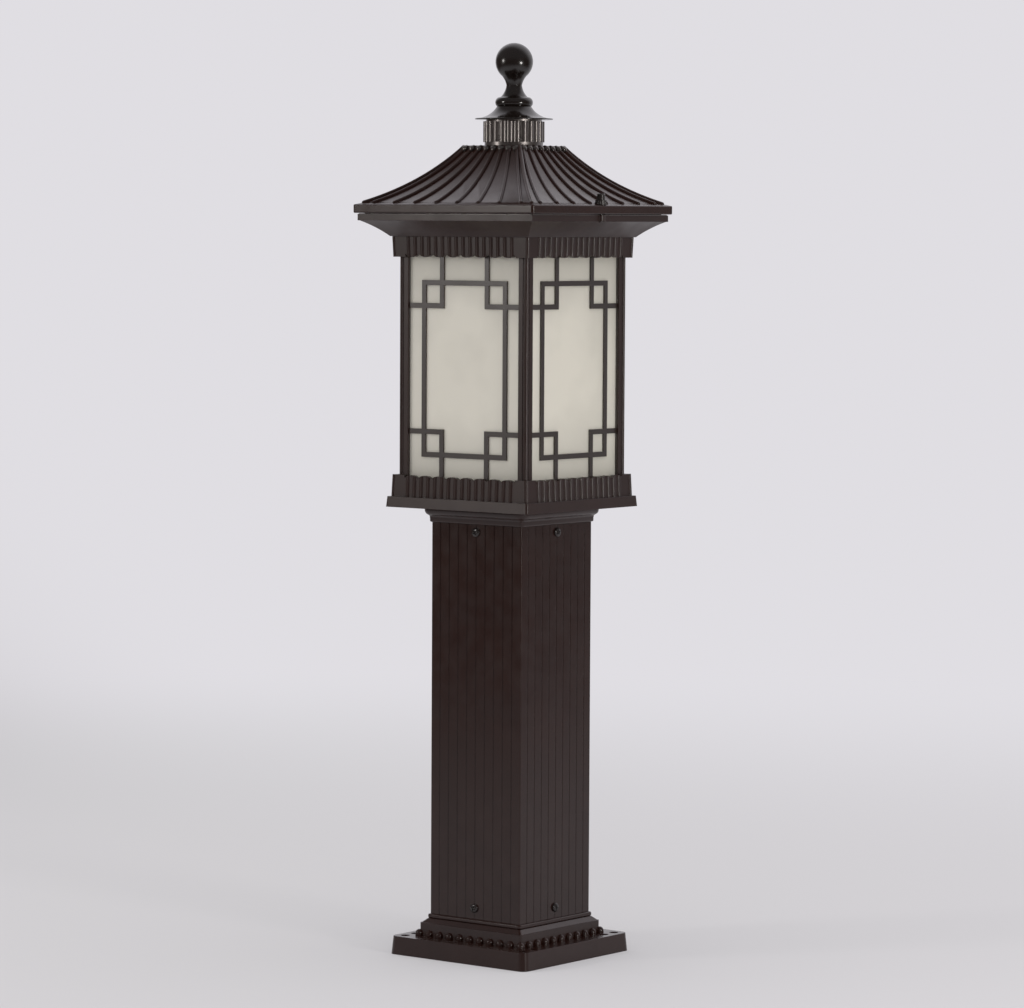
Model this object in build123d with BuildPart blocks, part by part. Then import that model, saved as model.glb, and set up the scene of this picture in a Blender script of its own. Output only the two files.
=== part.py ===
from build123d import *

import math
import os

# Post lantern: a cast head with a hinged roof and four frosted panes, carried on a
# square post that stands on a bolted foot. Millimetres, +Z up, origin at the middle
# of the foot's underside. The front is -Y, the roof hinge is on the left side (-X)
# and the roof screw is on the right side (+X).

# Foot casting, from the ground up
plate_side = 190
plate_draft = 1.5
plate_height = 20
plate_corner = 8
plate_skin = 6
foot_wall = 6
anchor_inset = 13
anchor_step = 18
anchor_hole_radius = 5
anchor_boss_radius = 9.6
block_side = 142
block_height = 14.5
block_corner = 3
shoulder_height = 4.5
shoulder_step = 1
foot_collar_height = 5
collar_step = 2.5
collar_round = 1.9
bead_radius = 4.2
bead_height = 6.6
bead_taper = 20
beads_per_side = 10

# Post tube, and the two spigots that it slips over
post_side = 125
post_wall = 2.5
post_length = 436
post_corner = 1.5
post_bands = 10
flute_width = 1.6
spigot_gap = 0.3
spigot_wall = 4
spigot_length = 45
spigot_corner = 3
side_screw_inset = 12

# Neck casting, under the tray
neck_collar_height = 7.5
neck_shoulder_height = 6
neck_plate = 6
neck_bolt_span = 90
neck_boss_radius = 8
neck_boss_height = 12
neck_way_radius = 20

# Tray casting, with a reeded gallery standing on its rim
tray_side = 198
tray_draft = 1
tray_height = 11.5
tray_corner = 3
tray_rim = 4
tray_skin = 5.5
tray_pad_side = 150
tray_pad_wall = 10
tray_bolt_boss = 9
tray_way_boss = 18
tray_screw_boss = 5
gallery_height = 24

# Reeded rings, whose free edges are cut in lobes of two reeds each
valance_height = 22.4
ring_gap = 2.6
ring_wall = 3.4
ring_draft = 0.9
lobes_per_side = 8
lobe_pitch = 19.1
lobe_depth = 3.4
lobe_crest_gap = 0.01
reed_radius = 2.8
reed_proud = 1.3
ring_bead_radius = 2.1

# Lantern body: corner posts, lattices and panes
body_side = 175.2
body_height = 284
flange_width = 11
flange_thickness = 2
lip_thickness = 1.6
lip_overlap = 0.4
corner_bead_radius = 2.1
corner_bead_inset = 1.4
corner_groove = (4, 1.2, 0.6)
port_inset = 4.3
layer_gap = 0.2
edge_gap = 0.3
lattice_thickness = 2
lattice_bar = 5.5
lattice_side_rim = 2.7
lattice_foot_rim = 15
lattice_head_rim = 14
lattice_square = 25
lattice_bar_reach = 56.1
lattice_foot_rise = 47
lattice_head_drop = 50
glass_thickness = 3
cushion_thickness = 1.5
cushion_length = 20
cushion_spacing = 100

# Crown casting, with the valance hanging from it
crown_flange = 5
crown_opening = 140
soffit_height = 17
soffit_foot_side = 191.4
soffit_head_side = 238.6
soffit_radius = 94.8
band_side = 241.8
band_height = 7
crown_rim = 8
crown_slope_side = 181
cut_margin = 1

# Roof casting
gasket_thickness = 1
gasket_width = 3
gasket_inset = 4.5
lip_side = 249.8
lip_height = 9.5
lip_corner = 3
lip_round = 1.4
lip_land = 0.42
eave_margin = 9.5
eave_rise = 2.26
roof_rise = 62.24
roof_top_side = 75.4
roof_radius = 196.2
roof_wall = 3.5
roof_ring = 14.9
skirt_wall = 2
skirt_drop = 7
rib_radius = 2.2
ribs_per_side = 8
rib_top_pitch = 10
rib_eave_pitch = 29
rib_end_gap = 1.3

# Roof hinge
hinge_spacing = 120
hinge_reach = 9.6
hinge_drop = 1.5
lug_root = 1
knuckle_radius = 4.5
lid_lug_width = 8
crown_lug_width = 4
lug_gap = 0.3
pin_radius = 2
pin_clearance = 0.05
pin_head_radius = 3.4
pin_head_height = 1.5
clip_radius = 3.6
clip_thickness = 0.8
clip_groove = 0.5
clip_mouth_ratio = 1.6
lid_opening = 100
stop_width = 4
stop_gap = 0.3

# Roof screw
roof_screw_inset = 5
roof_screw_radius = 2.5
roof_screw_gap = 0.3
roof_screw_reach = 19
screw_boss_radius = 4.7
spot_face_rise = 9.6
spot_face_radius = 6.9
screw_washer_radius = 5.6
screw_washer_thickness = 1
screw_flange_radius = 5.8
screw_flange_height = 4.4
screw_hub_radius = 4.4
screw_hub_height = 7
knurl_count = 18
knurl_radius = 0.6
knurl_sink = 0.15

# Finial: reeded drum, hat and ball on one stud
drum_radius = 33.7
drum_height = 22.5
drum_core_radius = 31.5
drum_reeds = 24
drum_reed_radius = 4.3
drum_ring_radius = 32
drum_ring_height = 4
drum_seat_height = 2
drum_seat_radius = 30.5
drum_bore = 26
drum_cap = 5
brim_radius = 42.7
brim_thickness = 1.4
hat_waist_radius = 25.5
hat_waist_rise = 6.9
hat_top_radius = 18.8
hat_height = 14.3
collar_radius = 20.6
collar_height = 9.6
neck_shoulder_radius = 14.6
neck_radius = 8.5
neck_rise = 23.2
collar_step_in = 1
collar_step_up = 1
neck_hollow = (1.2, -0.2)
throat_hollow = (0.9, 0.3)
ball_radius = 20.5
ball_rise = 48.7
ball_join_angle = 50
stud_radius = 4
stud_clearance = 0.5
stud_reach = 38
stud_tail = 13
stud_end_gap = 1
stud_nut_width = 13
stud_nut_height = 6.5
stud_washer_radius = 8
stud_washer_thickness = 1.6

# Lamp gear on the tray floor
bracket_width = 30
bracket_thickness = 2
bracket_height = 30
bracket_span = 46
bracket_foot = 20
bracket_bend = 3
bracket_screw_span = 72
holder_radius = 22
holder_height = 40
holder_floor = 10
holder_bore = 14.3
holder_chamfer = 1.5
holder_screw_span = 19
shell_gap = 0.2
shell_thickness = 0.5
shell_height = 25
contact_radius = 4
contact_height = 3
contact_gap = 0.3
contact_bevel = 1
cap_radius = 13.2
cap_height = 25
cap_tip_radius = 4.5
cap_tip_height = 3
globe_radius = 30
globe_neck_radius = 13
globe_height = 79
globe_join_turn = 28
grommet_hole = 11
grommet_bore = 7
grommet_lip_radius = 13.5
grommet_lip = 2
terminal_length = 46
terminal_depth = 18
terminal_height = 20
terminal_place = (7, 60.5)
pole_count = 3
pole_pitch = 14
pole_rise = 13
pole_screw_step = 9
pole_screw_sink = 1
terminal_corner = 1.5
bend_share = 0.45
lead_radius = 1.3
lead_hole = 1.6
lead_inset = 6.5
holder_lead_y = 18
holder_lead_depth = 6
lead_end_gap = 1
clamp_place = (0, 29)
clamp_width = 10
clamp_thickness = 1.5
clamp_length = 34
clamp_screw_span = 26
clamp_arch = 4.2
earth_screw_y = 19.6
earth_drop_start = 4
earth_drop_end = 15
tag_radius = 4
tag_thickness = 0.8
tag_barrel_radius = 1.9
tag_barrel_length = 5
tag_gap = 0.3

# Fasteners
m3 = 1.5
m4 = 2
m5 = 2.5
m6 = 3
free_hole = 0.25
tapped_hole = 0.05
head_ratio = 1.95
head_rise_ratio = 1.2
head_bevel_ratio = 0.4
end_bevel_ratio = 0.2
screw_tail = 1
gear_screw_tail = 2
frame_screw_grip = 12
neck_bolt_width = 10
neck_bolt_head = 4

# Levels that follow from the sizes above
block_top = plate_height + block_height
foot_shoulder_top = block_top + shoulder_height
post_foot = foot_shoulder_top + foot_collar_height
post_head = post_foot + post_length
neck_collar_top = post_head + neck_collar_height
neck_top = neck_collar_top + neck_shoulder_height
tray_floor = neck_top + tray_height
crown_seat = tray_floor + body_height
crown_floor = crown_seat + crown_flange
band_foot = crown_seat + soffit_height
crown_top = band_foot + band_height
roof_foot = crown_top + gasket_thickness
lip_top = roof_foot + lip_height
roof_spring = lip_top + eave_rise
roof_top = roof_spring + roof_rise
drum_foot = roof_top + drum_ring_height
drum_top = drum_foot + drum_height
hat_foot = drum_top + drum_seat_height
ball_foot = hat_foot + hat_height
ball_centre = ball_foot + ball_rise

# Reaches and widths that follow
collar_side = post_side + 2 * collar_step
spigot_side = post_side - 2 * post_wall - 2 * spigot_gap
spigot_bore = spigot_side - 2 * spigot_wall
anchor_reach = plate_side / 2 - anchor_inset
body_half = body_side / 2
lattice_face = body_half - flange_thickness - layer_gap
glass_face = lattice_face - lattice_thickness - layer_gap
glass_back = glass_face - glass_thickness
lip_front = body_half - glass_back + layer_gap
post_core = lip_front + lip_overlap
side_hole_depth = post_wall + spigot_gap + 2 * spigot_wall
panel_width = body_side - 2 * (post_core + edge_gap)
ring_side = body_side + 2 * (ring_gap + ring_wall)
port_reach = body_half - port_inset
rim_bore_side = band_side - 2 * crown_rim
roof_bore_side = lip_side - 2 * roof_ring
hinge_x = -(band_side / 2 + hinge_reach)
hinge_z = roof_foot - hinge_drop
roof_screw_x = lip_side / 2 - roof_screw_inset
spot_face_z = roof_foot + spot_face_rise
screw_washer_top = spot_face_z + screw_washer_thickness
holder_foot = tray_floor + bracket_height
holder_floor_z = holder_foot + holder_floor
cap_foot = holder_floor_z + contact_height + contact_gap
globe_foot = cap_foot + cap_tip_height + cap_height
globe_centre = globe_foot + globe_height - globe_radius
pole_z = tray_floor + pole_rise
pole_rows = [terminal_place[0] + (i - (pole_count - 1) / 2) * pole_pitch for i in range(pole_count)]

flats = 8
half_flat = 180 / flats
MIDDLE_FOOT = (Align.CENTER, Align.CENTER, Align.MIN)
MIDDLE_HEAD = (Align.CENTER, Align.CENTER, Align.MAX)
SIDES = {
    "front": Vector(0, -1, 0),
    "right": Vector(1, 0, 0),
    "back": Vector(0, 1, 0),
    "left": Vector(-1, 0, 0),
}
CORNERS = ("right_back", "left_back", "left_front", "right_front")


def side_plane(outward, reach, level=0.0):
    """The plane of one side as seen from outside, X to the right and Y up."""
    along = Vector(-outward.Y, outward.X, 0)
    return Plane(outward * reach + Vector(0, 0, level), along, outward)


def level_points(places, level):
    """The given places in plan, all at one level."""
    return [(x, y, level) for x, y in places]


def corner_places(span):
    """The corners of a centred square in plan."""
    return [(x * span / 2, y * span / 2) for x in (-1, 1) for y in (-1, 1)]


def drafted_block(foot_side, head_side, foot_z, height, corner):
    """A square block with rounded corners whose side changes evenly from foot to head."""
    with BuildPart() as block:
        with BuildSketch(Plane.XY.offset(foot_z)):
            RectangleRounded(foot_side, foot_side, corner)
        with BuildSketch(Plane.XY.offset(foot_z + height)):
            RectangleRounded(head_side, head_side, corner)
        loft()
    return block.part


def rounded_block(side, foot_z, height, corner, rounding):
    """A square block whose upright corners and whose upper and lower rims are rounded."""
    with BuildPart() as block:
        with BuildSketch(Plane.XY.offset(foot_z)):
            RectangleRounded(side, side, corner)
        extrude(amount=height)
        rims = block.edges().group_by(Axis.Z)
        fillet(rims[0] + rims[-1], rounding)
    return block.part


def square_prism(side, foot_z, head_z):
    """A plain square prism between two levels."""
    with BuildPart(Plane.XY.offset(foot_z)) as prism:
        Box(side, side, head_z - foot_z, align=MIDDLE_FOOT)
    return prism.part


def four_sided(outline):
    """A solid whose four sides all follow one outline of half width against height."""
    with BuildPart() as body:
        with BuildSketch(Plane.XZ):
            add(outline)
        extrude(amount=lip_side, both=True)
        with BuildSketch(Plane.YZ):
            add(outline)
        extrude(amount=lip_side, both=True, mode=Mode.INTERSECT)
    return body.part


def reeded_ring(height):
    """A reeded ring that stands on z = 0, its upper edge cut in lobes of two reeds each."""
    tip_side = ring_side - 2 * ring_draft
    lean = ring_draft / height
    reeded = lobes_per_side * lobe_pitch
    reed_rows = [(i + 0.5) * lobe_pitch / 2 - reeded / 2 for i in range(2 * lobes_per_side)]
    reed_reach = ring_side / 2 + reed_proud - reed_radius
    bead_reach = ring_side / 2 - ring_bead_radius / 2
    reed_frames = [Plane((reed_reach, y, 0), (0, 1, 0), (-lean, 0, 1)) for y in reed_rows]
    bead_frame = Plane((bead_reach, bead_reach, 0), (1, -1, 0), (-lean, -lean, 1))
    with BuildPart() as ring:
        add(drafted_block(ring_side, tip_side, 0, height, ring_bead_radius))
        with BuildSketch():
            Rectangle(ring_side - 2 * ring_wall, ring_side - 2 * ring_wall)
        with BuildSketch(Plane.XY.offset(height)):
            Rectangle(tip_side - 2 * ring_wall, tip_side - 2 * ring_wall)
        loft(mode=Mode.SUBTRACT)
        with PolarLocations(0, 4):
            with Locations(*reed_frames):
                Cylinder(reed_radius, height, align=MIDDLE_FOOT)
            with Locations(bead_frame):
                Cylinder(ring_bead_radius, height, align=MIDDLE_FOOT)
        notch = height - lobe_depth
        for plane in (Plane.XZ, Plane.YZ):
            with BuildSketch(plane):
                with BuildLine():
                    for i in range(lobes_per_side):
                        start = i * lobe_pitch - reeded / 2
                        ThreePointArc(
                            (start, notch),
                            (start + lobe_pitch / 2, height - lobe_crest_gap),
                            (start + lobe_pitch, notch),
                        )
                    Polyline(
                        (reeded / 2, notch),
                        (reeded / 2, 2 * height),
                        (-reeded / 2, 2 * height),
                        (-reeded / 2, notch),
                    )
                make_face()
            extrude(amount=ring_side, both=True, mode=Mode.SUBTRACT)
    return ring.part


def pan_screw(radius, length):
    """A pan head screw standing on z = 0, with its shank down the minus Z axis."""
    head_rise = head_rise_ratio * radius
    with BuildPart() as screw:
        Cylinder(head_ratio * radius, head_rise, align=MIDDLE_FOOT)
        chamfer(screw.edges().group_by(Axis.Z)[-1], head_bevel_ratio * head_rise)
        Cylinder(radius, length, align=MIDDLE_HEAD)
    return screw.part


def hex_bolt(radius, length, width, head_rise):
    """A hexagon head bolt standing on z = 0, with its shank down the minus Z axis."""
    with BuildPart() as bolt:
        with BuildSketch():
            RegularPolygon(width / 2, 6, major_radius=False)
        extrude(amount=head_rise)
        Cylinder(radius, length, align=MIDDLE_HEAD)
    return bolt.part


def finish(part, name):
    """Label a finished piece and write it."""
    part.label = name
    export_step(part, f"parts/{name}.step")


os.makedirs("parts", exist_ok=True)

# Foot casting: a hollow plate, a block, a sloped shoulder, a collar that carries the
# post and a spigot inside it. A row of beads runs round the foot of the block.
bead_pitch = block_side / beads_per_side
bead_rows = [i * bead_pitch - block_side / 2 for i in range(beads_per_side)]
anchor_rows = (anchor_reach, anchor_reach - anchor_step)
anchor_places = [(x * anchor_reach, y * row) for x in (-1, 1) for y in (-1, 1) for row in anchor_rows]
with BuildPart() as foot_casting:
    add(drafted_block(plate_side, plate_side - 2 * plate_draft, 0, plate_height, plate_corner))
    add(drafted_block(block_side, block_side, plate_height, block_height, block_corner))
    shoulder_side = block_side - 2 * shoulder_step
    add(drafted_block(shoulder_side, collar_side, block_top, shoulder_height, block_corner))
    add(rounded_block(collar_side, foot_shoulder_top, foot_collar_height, block_corner, collar_round))
    add(drafted_block(spigot_side, spigot_side, post_foot, spigot_length, spigot_corner))
    with BuildSketch(Plane.XY.offset(plate_height)):
        with PolarLocations(0, 4):
            with Locations(*[(block_side / 2, y) for y in bead_rows]):
                RegularPolygon(bead_radius, flats, rotation=half_flat)
    extrude(amount=bead_height, taper=bead_taper)
    add(square_prism(plate_side - 2 * foot_wall, 0, plate_height - plate_skin), mode=Mode.SUBTRACT)
    add(square_prism(block_side - 2 * foot_wall, 0, block_top - foot_wall), mode=Mode.SUBTRACT)
    add(square_prism(spigot_bore, 0, post_foot + spigot_length), mode=Mode.SUBTRACT)
    with Locations(*level_points(anchor_places, 0)):
        Cylinder(anchor_boss_radius, plate_height - plate_skin, align=MIDDLE_FOOT)
    with Locations(*level_points(anchor_places, plate_height)):
        Hole(anchor_hole_radius)
    with Locations(*[side_plane(out, post_side / 2, post_foot + side_screw_inset) for out in SIDES.values()]):
        Hole(m5 + tapped_hole, depth=side_hole_depth)
finish(foot_casting.part, "foot_casting")

# Post tube: a square tube with shallow flutes that part each side into even bands
band_width = post_side / post_bands
flute_rows = [(i + 1) * band_width - post_side / 2 for i in range(post_bands - 1)]
flute_side = flute_width / math.sqrt(2)
with BuildPart() as post_tube:
    with BuildSketch(Plane.XY.offset(post_foot)):
        RectangleRounded(post_side, post_side, post_corner)
        Rectangle(post_side - 2 * post_wall, post_side - 2 * post_wall, mode=Mode.SUBTRACT)
        with PolarLocations(0, 4):
            with Locations(*[(post_side / 2, y) for y in flute_rows]):
                Rectangle(flute_side, flute_side, rotation=45, mode=Mode.SUBTRACT)
    extrude(amount=post_length)
    for level in (post_foot + side_screw_inset, post_head - side_screw_inset):
        with Locations(*[side_plane(out, post_side / 2, level) for out in SIDES.values()]):
            Hole(m5 + free_hole, depth=2 * post_wall)
finish(post_tube.part, "post_tube")

# Neck casting: the foot's collar and shoulder turned over, a spigot down into the post
# and a top plate that the tray is bolted to
neck_bolt_places = corner_places(neck_bolt_span)
neck_side = block_side - 2 * shoulder_step
with BuildPart() as neck_casting:
    add(rounded_block(collar_side, post_head, neck_collar_height, block_corner, collar_round))
    add(drafted_block(collar_side, neck_side, neck_collar_top, neck_shoulder_height, block_corner))
    add(drafted_block(spigot_side, spigot_side, post_head - spigot_length, spigot_length, spigot_corner))
    plate_foot = neck_top - neck_plate
    add(square_prism(spigot_bore, post_head - spigot_length, plate_foot), mode=Mode.SUBTRACT)
    with Locations(*level_points(neck_bolt_places, plate_foot)):
        Cylinder(neck_boss_radius, neck_boss_height, align=MIDDLE_HEAD)
    with Locations(*level_points(neck_bolt_places, neck_top)):
        Hole(m6 + tapped_hole, depth=neck_plate + neck_boss_height)
    with Locations((0, 0, neck_top)):
        Hole(neck_way_radius, depth=neck_plate)
    with Locations(*[side_plane(out, post_side / 2, post_head - side_screw_inset) for out in SIDES.values()]):
        Hole(m5 + tapped_hole, depth=side_hole_depth)
finish(neck_casting.part, "neck_casting")

# Screws that hold the post to the foot and to the neck, one in each side
for name, level in (("foot", post_foot + side_screw_inset), ("neck", post_head - side_screw_inset)):
    with BuildPart() as post_screws:
        with Locations(*[side_plane(out, post_side / 2, level) for out in SIDES.values()]):
            add(pan_screw(m5, post_wall + spigot_gap + spigot_wall + screw_tail))
    finish(post_screws.part, f"post_screws_{name}")

# Tray casting: a drafted flange, hollow underneath, with a pad wall on the neck,
# bosses for what is screwed to it and the gallery round the lantern's foot
gear_screws = [(x * bracket_screw_span / 2, 0) for x in (-1, 1)]
clamp_screws = [(clamp_place[0] + x * clamp_screw_span / 2, clamp_place[1]) for x in (-1, 1)]
terminal_fixings = [((pole_rows[i] + pole_rows[i + 1]) / 2, terminal_place[1]) for i in range(pole_count - 1)]
earth_place = (pole_rows[-1], earth_screw_y)
m3_places = clamp_screws + terminal_fixings
m4_places = gear_screws + [earth_place]
with BuildPart() as tray_casting:
    add(drafted_block(tray_side, tray_side - 2 * tray_draft, neck_top, tray_height, tray_corner))
    pocket_top = tray_floor - tray_skin
    add(square_prism(tray_side - 2 * (tray_draft + tray_rim), neck_top, pocket_top), mode=Mode.SUBTRACT)
    with BuildSketch(Plane.XY.offset(neck_top)):
        Rectangle(tray_pad_side, tray_pad_side)
        Rectangle(tray_pad_side - 2 * tray_pad_wall, tray_pad_side - 2 * tray_pad_wall, mode=Mode.SUBTRACT)
        with Locations(*neck_bolt_places):
            Circle(tray_bolt_boss)
        with Locations(*(m3_places + m4_places)):
            Circle(tray_screw_boss)
        Circle(tray_way_boss)
    extrude(amount=tray_height - tray_skin)
    with Locations((0, 0, tray_floor)):
        add(reeded_ring(gallery_height))
    with Locations(*level_points(neck_bolt_places, tray_floor)):
        Hole(m6 + free_hole, depth=tray_height)
    with Locations(*level_points(corner_places(2 * port_reach), tray_floor)):
        Hole(m4 + free_hole, depth=tray_skin)
    with Locations(*level_points(m3_places, tray_floor)):
        Hole(m3 + tapped_hole, depth=tray_height)
    with Locations(*level_points(m4_places, tray_floor)):
        Hole(m4 + tapped_hole, depth=tray_height)
    with Locations((0, 0, tray_floor)):
        Hole(grommet_hole, depth=tray_height)
finish(tray_casting.part, "tray_casting")

# Bolts that hold the tray on the neck
with BuildPart() as neck_bolts:
    with Locations(*level_points(neck_bolt_places, tray_floor)):
        add(hex_bolt(m6, tray_height + neck_plate + neck_boss_height / 2, neck_bolt_width, neck_bolt_head))
finish(neck_bolts.part, "neck_bolts")

# Cable grommet in the middle of the tray, with a lip over each face
with BuildPart() as cable_grommet:
    with BuildSketch(Plane.XZ):
        with Locations((0, neck_top - grommet_lip)):
            grommet_height = tray_height + 2 * grommet_lip
            Rectangle(grommet_hole, grommet_height, align=(Align.MIN, Align.MIN))
        with Locations((0, neck_top - grommet_lip), (0, tray_floor)):
            Rectangle(grommet_lip_radius, grommet_lip, align=(Align.MIN, Align.MIN))
        with Locations((0, neck_top - grommet_lip)):
            Rectangle(grommet_bore, grommet_height, align=(Align.MIN, Align.MIN), mode=Mode.SUBTRACT)
    revolve(axis=Axis.Z)
finish(cable_grommet.part, "cable_grommet")

# Corner posts: one section with a core, two outer flanges, two inner lips that hold
# the panes, a bead on the corner, a groove beside it and a port for the end screws
groove_start, groove_width, groove_depth = corner_groove
for index, corner in enumerate(CORNERS):
    with BuildPart() as corner_post:
        with BuildSketch(Plane.XY.offset(tray_floor).rotated((0, 0, 90 * index))):
            with Locations((body_half, body_half)):
                Rectangle(post_core, post_core, align=Align.MAX)
                Rectangle(flange_width, flange_thickness, align=Align.MAX)
                Rectangle(flange_thickness, flange_width, align=Align.MAX)
            with Locations((body_half - lip_front, body_half - lip_front)):
                lip_reach = flange_width - lip_front
                Rectangle(lip_reach, lip_thickness, align=Align.MAX)
                Rectangle(lip_thickness, lip_reach, align=Align.MAX)
            bead_place = body_half - corner_bead_inset
            with Locations((bead_place, bead_place)):
                Circle(corner_bead_radius)
            with Locations((body_half - groove_start, body_half)):
                Rectangle(groove_width, 2 * groove_depth, align=(Align.MAX, Align.CENTER), mode=Mode.SUBTRACT)
            with Locations((body_half, body_half - groove_start)):
                Rectangle(2 * groove_depth, groove_width, align=(Align.CENTER, Align.MAX), mode=Mode.SUBTRACT)
            with Locations((port_reach, port_reach)):
                Circle(m4 + tapped_hole, mode=Mode.SUBTRACT)
        extrude(amount=body_height)
    finish(corner_post.part, f"corner_post_{corner}")

# Lattices: a rim, a long frame of bars and a small square in each corner
lattice_height = body_height - 2 * edge_gap
lattice_foot = tray_floor + edge_gap
window_foot = tray_floor + lattice_foot_rim
window_head = crown_seat - lattice_head_rim
window_half = panel_width / 2 - lattice_side_rim
foot_bar_z = tray_floor + lattice_foot_rise
head_bar_z = crown_seat - lattice_head_drop
square_reach = lattice_bar_reach - lattice_square
for side, outward in SIDES.items():
    with BuildPart() as lattice:
        with BuildSketch(side_plane(outward, lattice_face)):
            with Locations((0, lattice_foot)):
                Rectangle(panel_width, lattice_height, align=(Align.CENTER, Align.MIN))
            with Locations((0, window_foot)):
                window_height = window_head - window_foot
                Rectangle(2 * window_half, window_height, align=(Align.CENTER, Align.MIN), mode=Mode.SUBTRACT)
            with Locations((0, foot_bar_z), (0, head_bar_z)):
                Rectangle(2 * lattice_bar_reach + lattice_bar, lattice_bar)
            for x in (-lattice_bar_reach, lattice_bar_reach):
                with Locations((x, (foot_bar_z + head_bar_z) / 2)):
                    Rectangle(lattice_bar, head_bar_z - foot_bar_z)
            for hand in (-1, 1):
                arm = window_half - square_reach + lattice_bar / 2
                arm_middle = hand * (square_reach - lattice_bar / 2 + arm / 2)
                foot_arm_z = foot_bar_z + lattice_square
                head_arm_z = head_bar_z - lattice_square
                with Locations((arm_middle, foot_arm_z), (arm_middle, head_arm_z)):
                    Rectangle(arm, lattice_bar)
                foot_stub = foot_bar_z + lattice_square - window_foot
                with Locations((hand * square_reach, window_foot + foot_stub / 2)):
                    Rectangle(lattice_bar, foot_stub)
                head_stub = window_head - head_bar_z + lattice_square
                with Locations((hand * square_reach, window_head - head_stub / 2)):
                    Rectangle(lattice_bar, head_stub)
        extrude(amount=-lattice_thickness)
    finish(lattice.part, f"lattice_{side}")

# Panes, one behind each lattice
for side, outward in SIDES.items():
    with BuildPart() as glass:
        with BuildSketch(side_plane(outward, glass_face, tray_floor + body_height / 2)):
            Rectangle(panel_width, body_height - 2 * cushion_thickness)
        extrude(amount=-glass_thickness)
    finish(glass.part, f"glass_{side}")

# Cushions that the panes stand on and that fill the gap over them
with BuildPart() as glass_cushions:
    for outward in SIDES.values():
        for level in (tray_floor + cushion_thickness / 2, crown_seat - cushion_thickness / 2):
            with BuildSketch(side_plane(outward, glass_face, level)):
                with Locations((-cushion_spacing / 2, 0), (cushion_spacing / 2, 0)):
                    Rectangle(cushion_length, cushion_thickness)
            extrude(amount=-glass_thickness)
finish(glass_cushions.part, "glass_cushions")

# Crown casting: a flange on the corner posts, a coved soffit, an upright band, the
# valance, two pairs of hinge lugs and a boss for the roof screw
with BuildSketch() as crown_outline:
    with BuildLine():
        RadiusArc(
            (soffit_foot_side / 2, crown_seat),
            (soffit_head_side / 2, band_foot),
            soffit_radius,
        )
        Polyline(
            (soffit_head_side / 2, band_foot),
            (band_side / 2, band_foot),
            (band_side / 2, crown_top),
            (0, crown_top),
            (0, crown_seat),
            (soffit_foot_side / 2, crown_seat),
        )
    make_face()
    mirror(about=Plane.YZ)
with BuildSketch() as crown_cavity:
    with BuildLine():
        Polyline(
            (0, crown_floor),
            (crown_slope_side / 2, crown_floor),
            (rim_bore_side / 2, band_foot),
            (rim_bore_side / 2, crown_top + cut_margin),
            (0, crown_top + cut_margin),
            close=True,
        )
    make_face()
    mirror(about=Plane.YZ)
hinge_rows = (-hinge_spacing / 2, hinge_spacing / 2)
crown_lug_step = lid_lug_width / 2 + lug_gap + crown_lug_width / 2
crown_lug_rows = [y + step for y in hinge_rows for step in (-crown_lug_step, crown_lug_step)]
with BuildPart() as crown_casting:
    add(four_sided(crown_outline.sketch))
    add(four_sided(crown_cavity.sketch), mode=Mode.SUBTRACT)
    add(square_prism(crown_opening, crown_seat, crown_floor), mode=Mode.SUBTRACT)
    with Locations(Location((0, 0, crown_seat), (180, 0, 0))):
        add(reeded_ring(valance_height))
    with BuildSketch(*[Plane((hinge_x, y, hinge_z), (1, 0, 0), (0, -1, 0)) for y in crown_lug_rows]):
        Circle(knuckle_radius)
        Rectangle(hinge_reach + lug_root, knuckle_radius, align=(Align.MIN, Align.MAX))
        Circle(pin_radius + pin_clearance, mode=Mode.SUBTRACT)
    extrude(amount=crown_lug_width / 2, both=True)
    with Locations((roof_screw_x, 0, crown_top)):
        Cylinder(screw_boss_radius, band_height, align=MIDDLE_HEAD)
    with Locations((roof_screw_x, 0, crown_top)):
        Hole(roof_screw_radius + roof_screw_gap, depth=2 * band_height)
    with Locations(*level_points(corner_places(2 * port_reach), crown_floor)):
        Hole(m4 + free_hole, depth=crown_flange)
finish(crown_casting.part, "crown_casting")

# Screws into the ends of the corner posts, from under the tray and over the crown
frame_places = corner_places(2 * port_reach)
with BuildPart() as frame_screws_lower:
    with Locations(*[Location((x, y, pocket_top), (180, 0, 0)) for x, y in frame_places]):
        add(pan_screw(m4, tray_skin + frame_screw_grip))
finish(frame_screws_lower.part, "frame_screws_lower")
with BuildPart() as frame_screws_upper:
    with Locations(*level_points(frame_places, crown_floor)):
        add(pan_screw(m4, crown_flange + frame_screw_grip))
finish(frame_screws_upper.part, "frame_screws_upper")

# Gasket on the crown's rim
gasket_outer = band_side - 2 * gasket_inset
with BuildPart() as lid_gasket:
    with BuildSketch(Plane.XY.offset(crown_top)):
        RectangleRounded(gasket_outer, gasket_outer, lip_corner)
        Rectangle(gasket_outer - 2 * gasket_width, gasket_outer - 2 * gasket_width, mode=Mode.SUBTRACT)
    extrude(amount=gasket_thickness)
finish(lid_gasket.part, "lid_gasket")

# The roof's face in section: an arc from the eave to the flat top, hollow to the sky
spring_point = Vector(lip_side / 2 - eave_margin, roof_spring)
peak_point = Vector(roof_top_side / 2, roof_top)
roof_chord = peak_point - spring_point
roof_bow = math.sqrt(roof_radius**2 - (roof_chord.length / 2) ** 2)
arc_centre = (spring_point + peak_point) * 0.5 + roof_chord.normalized().rotate(Axis.Z, -90) * roof_bow


def roof_level(half_width, depth=0.0):
    """Level of the roof's face at a half width, or of the face that lies that deep under it."""
    return arc_centre.Y - math.sqrt((roof_radius + depth) ** 2 - (arc_centre.X - half_width) ** 2)


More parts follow.
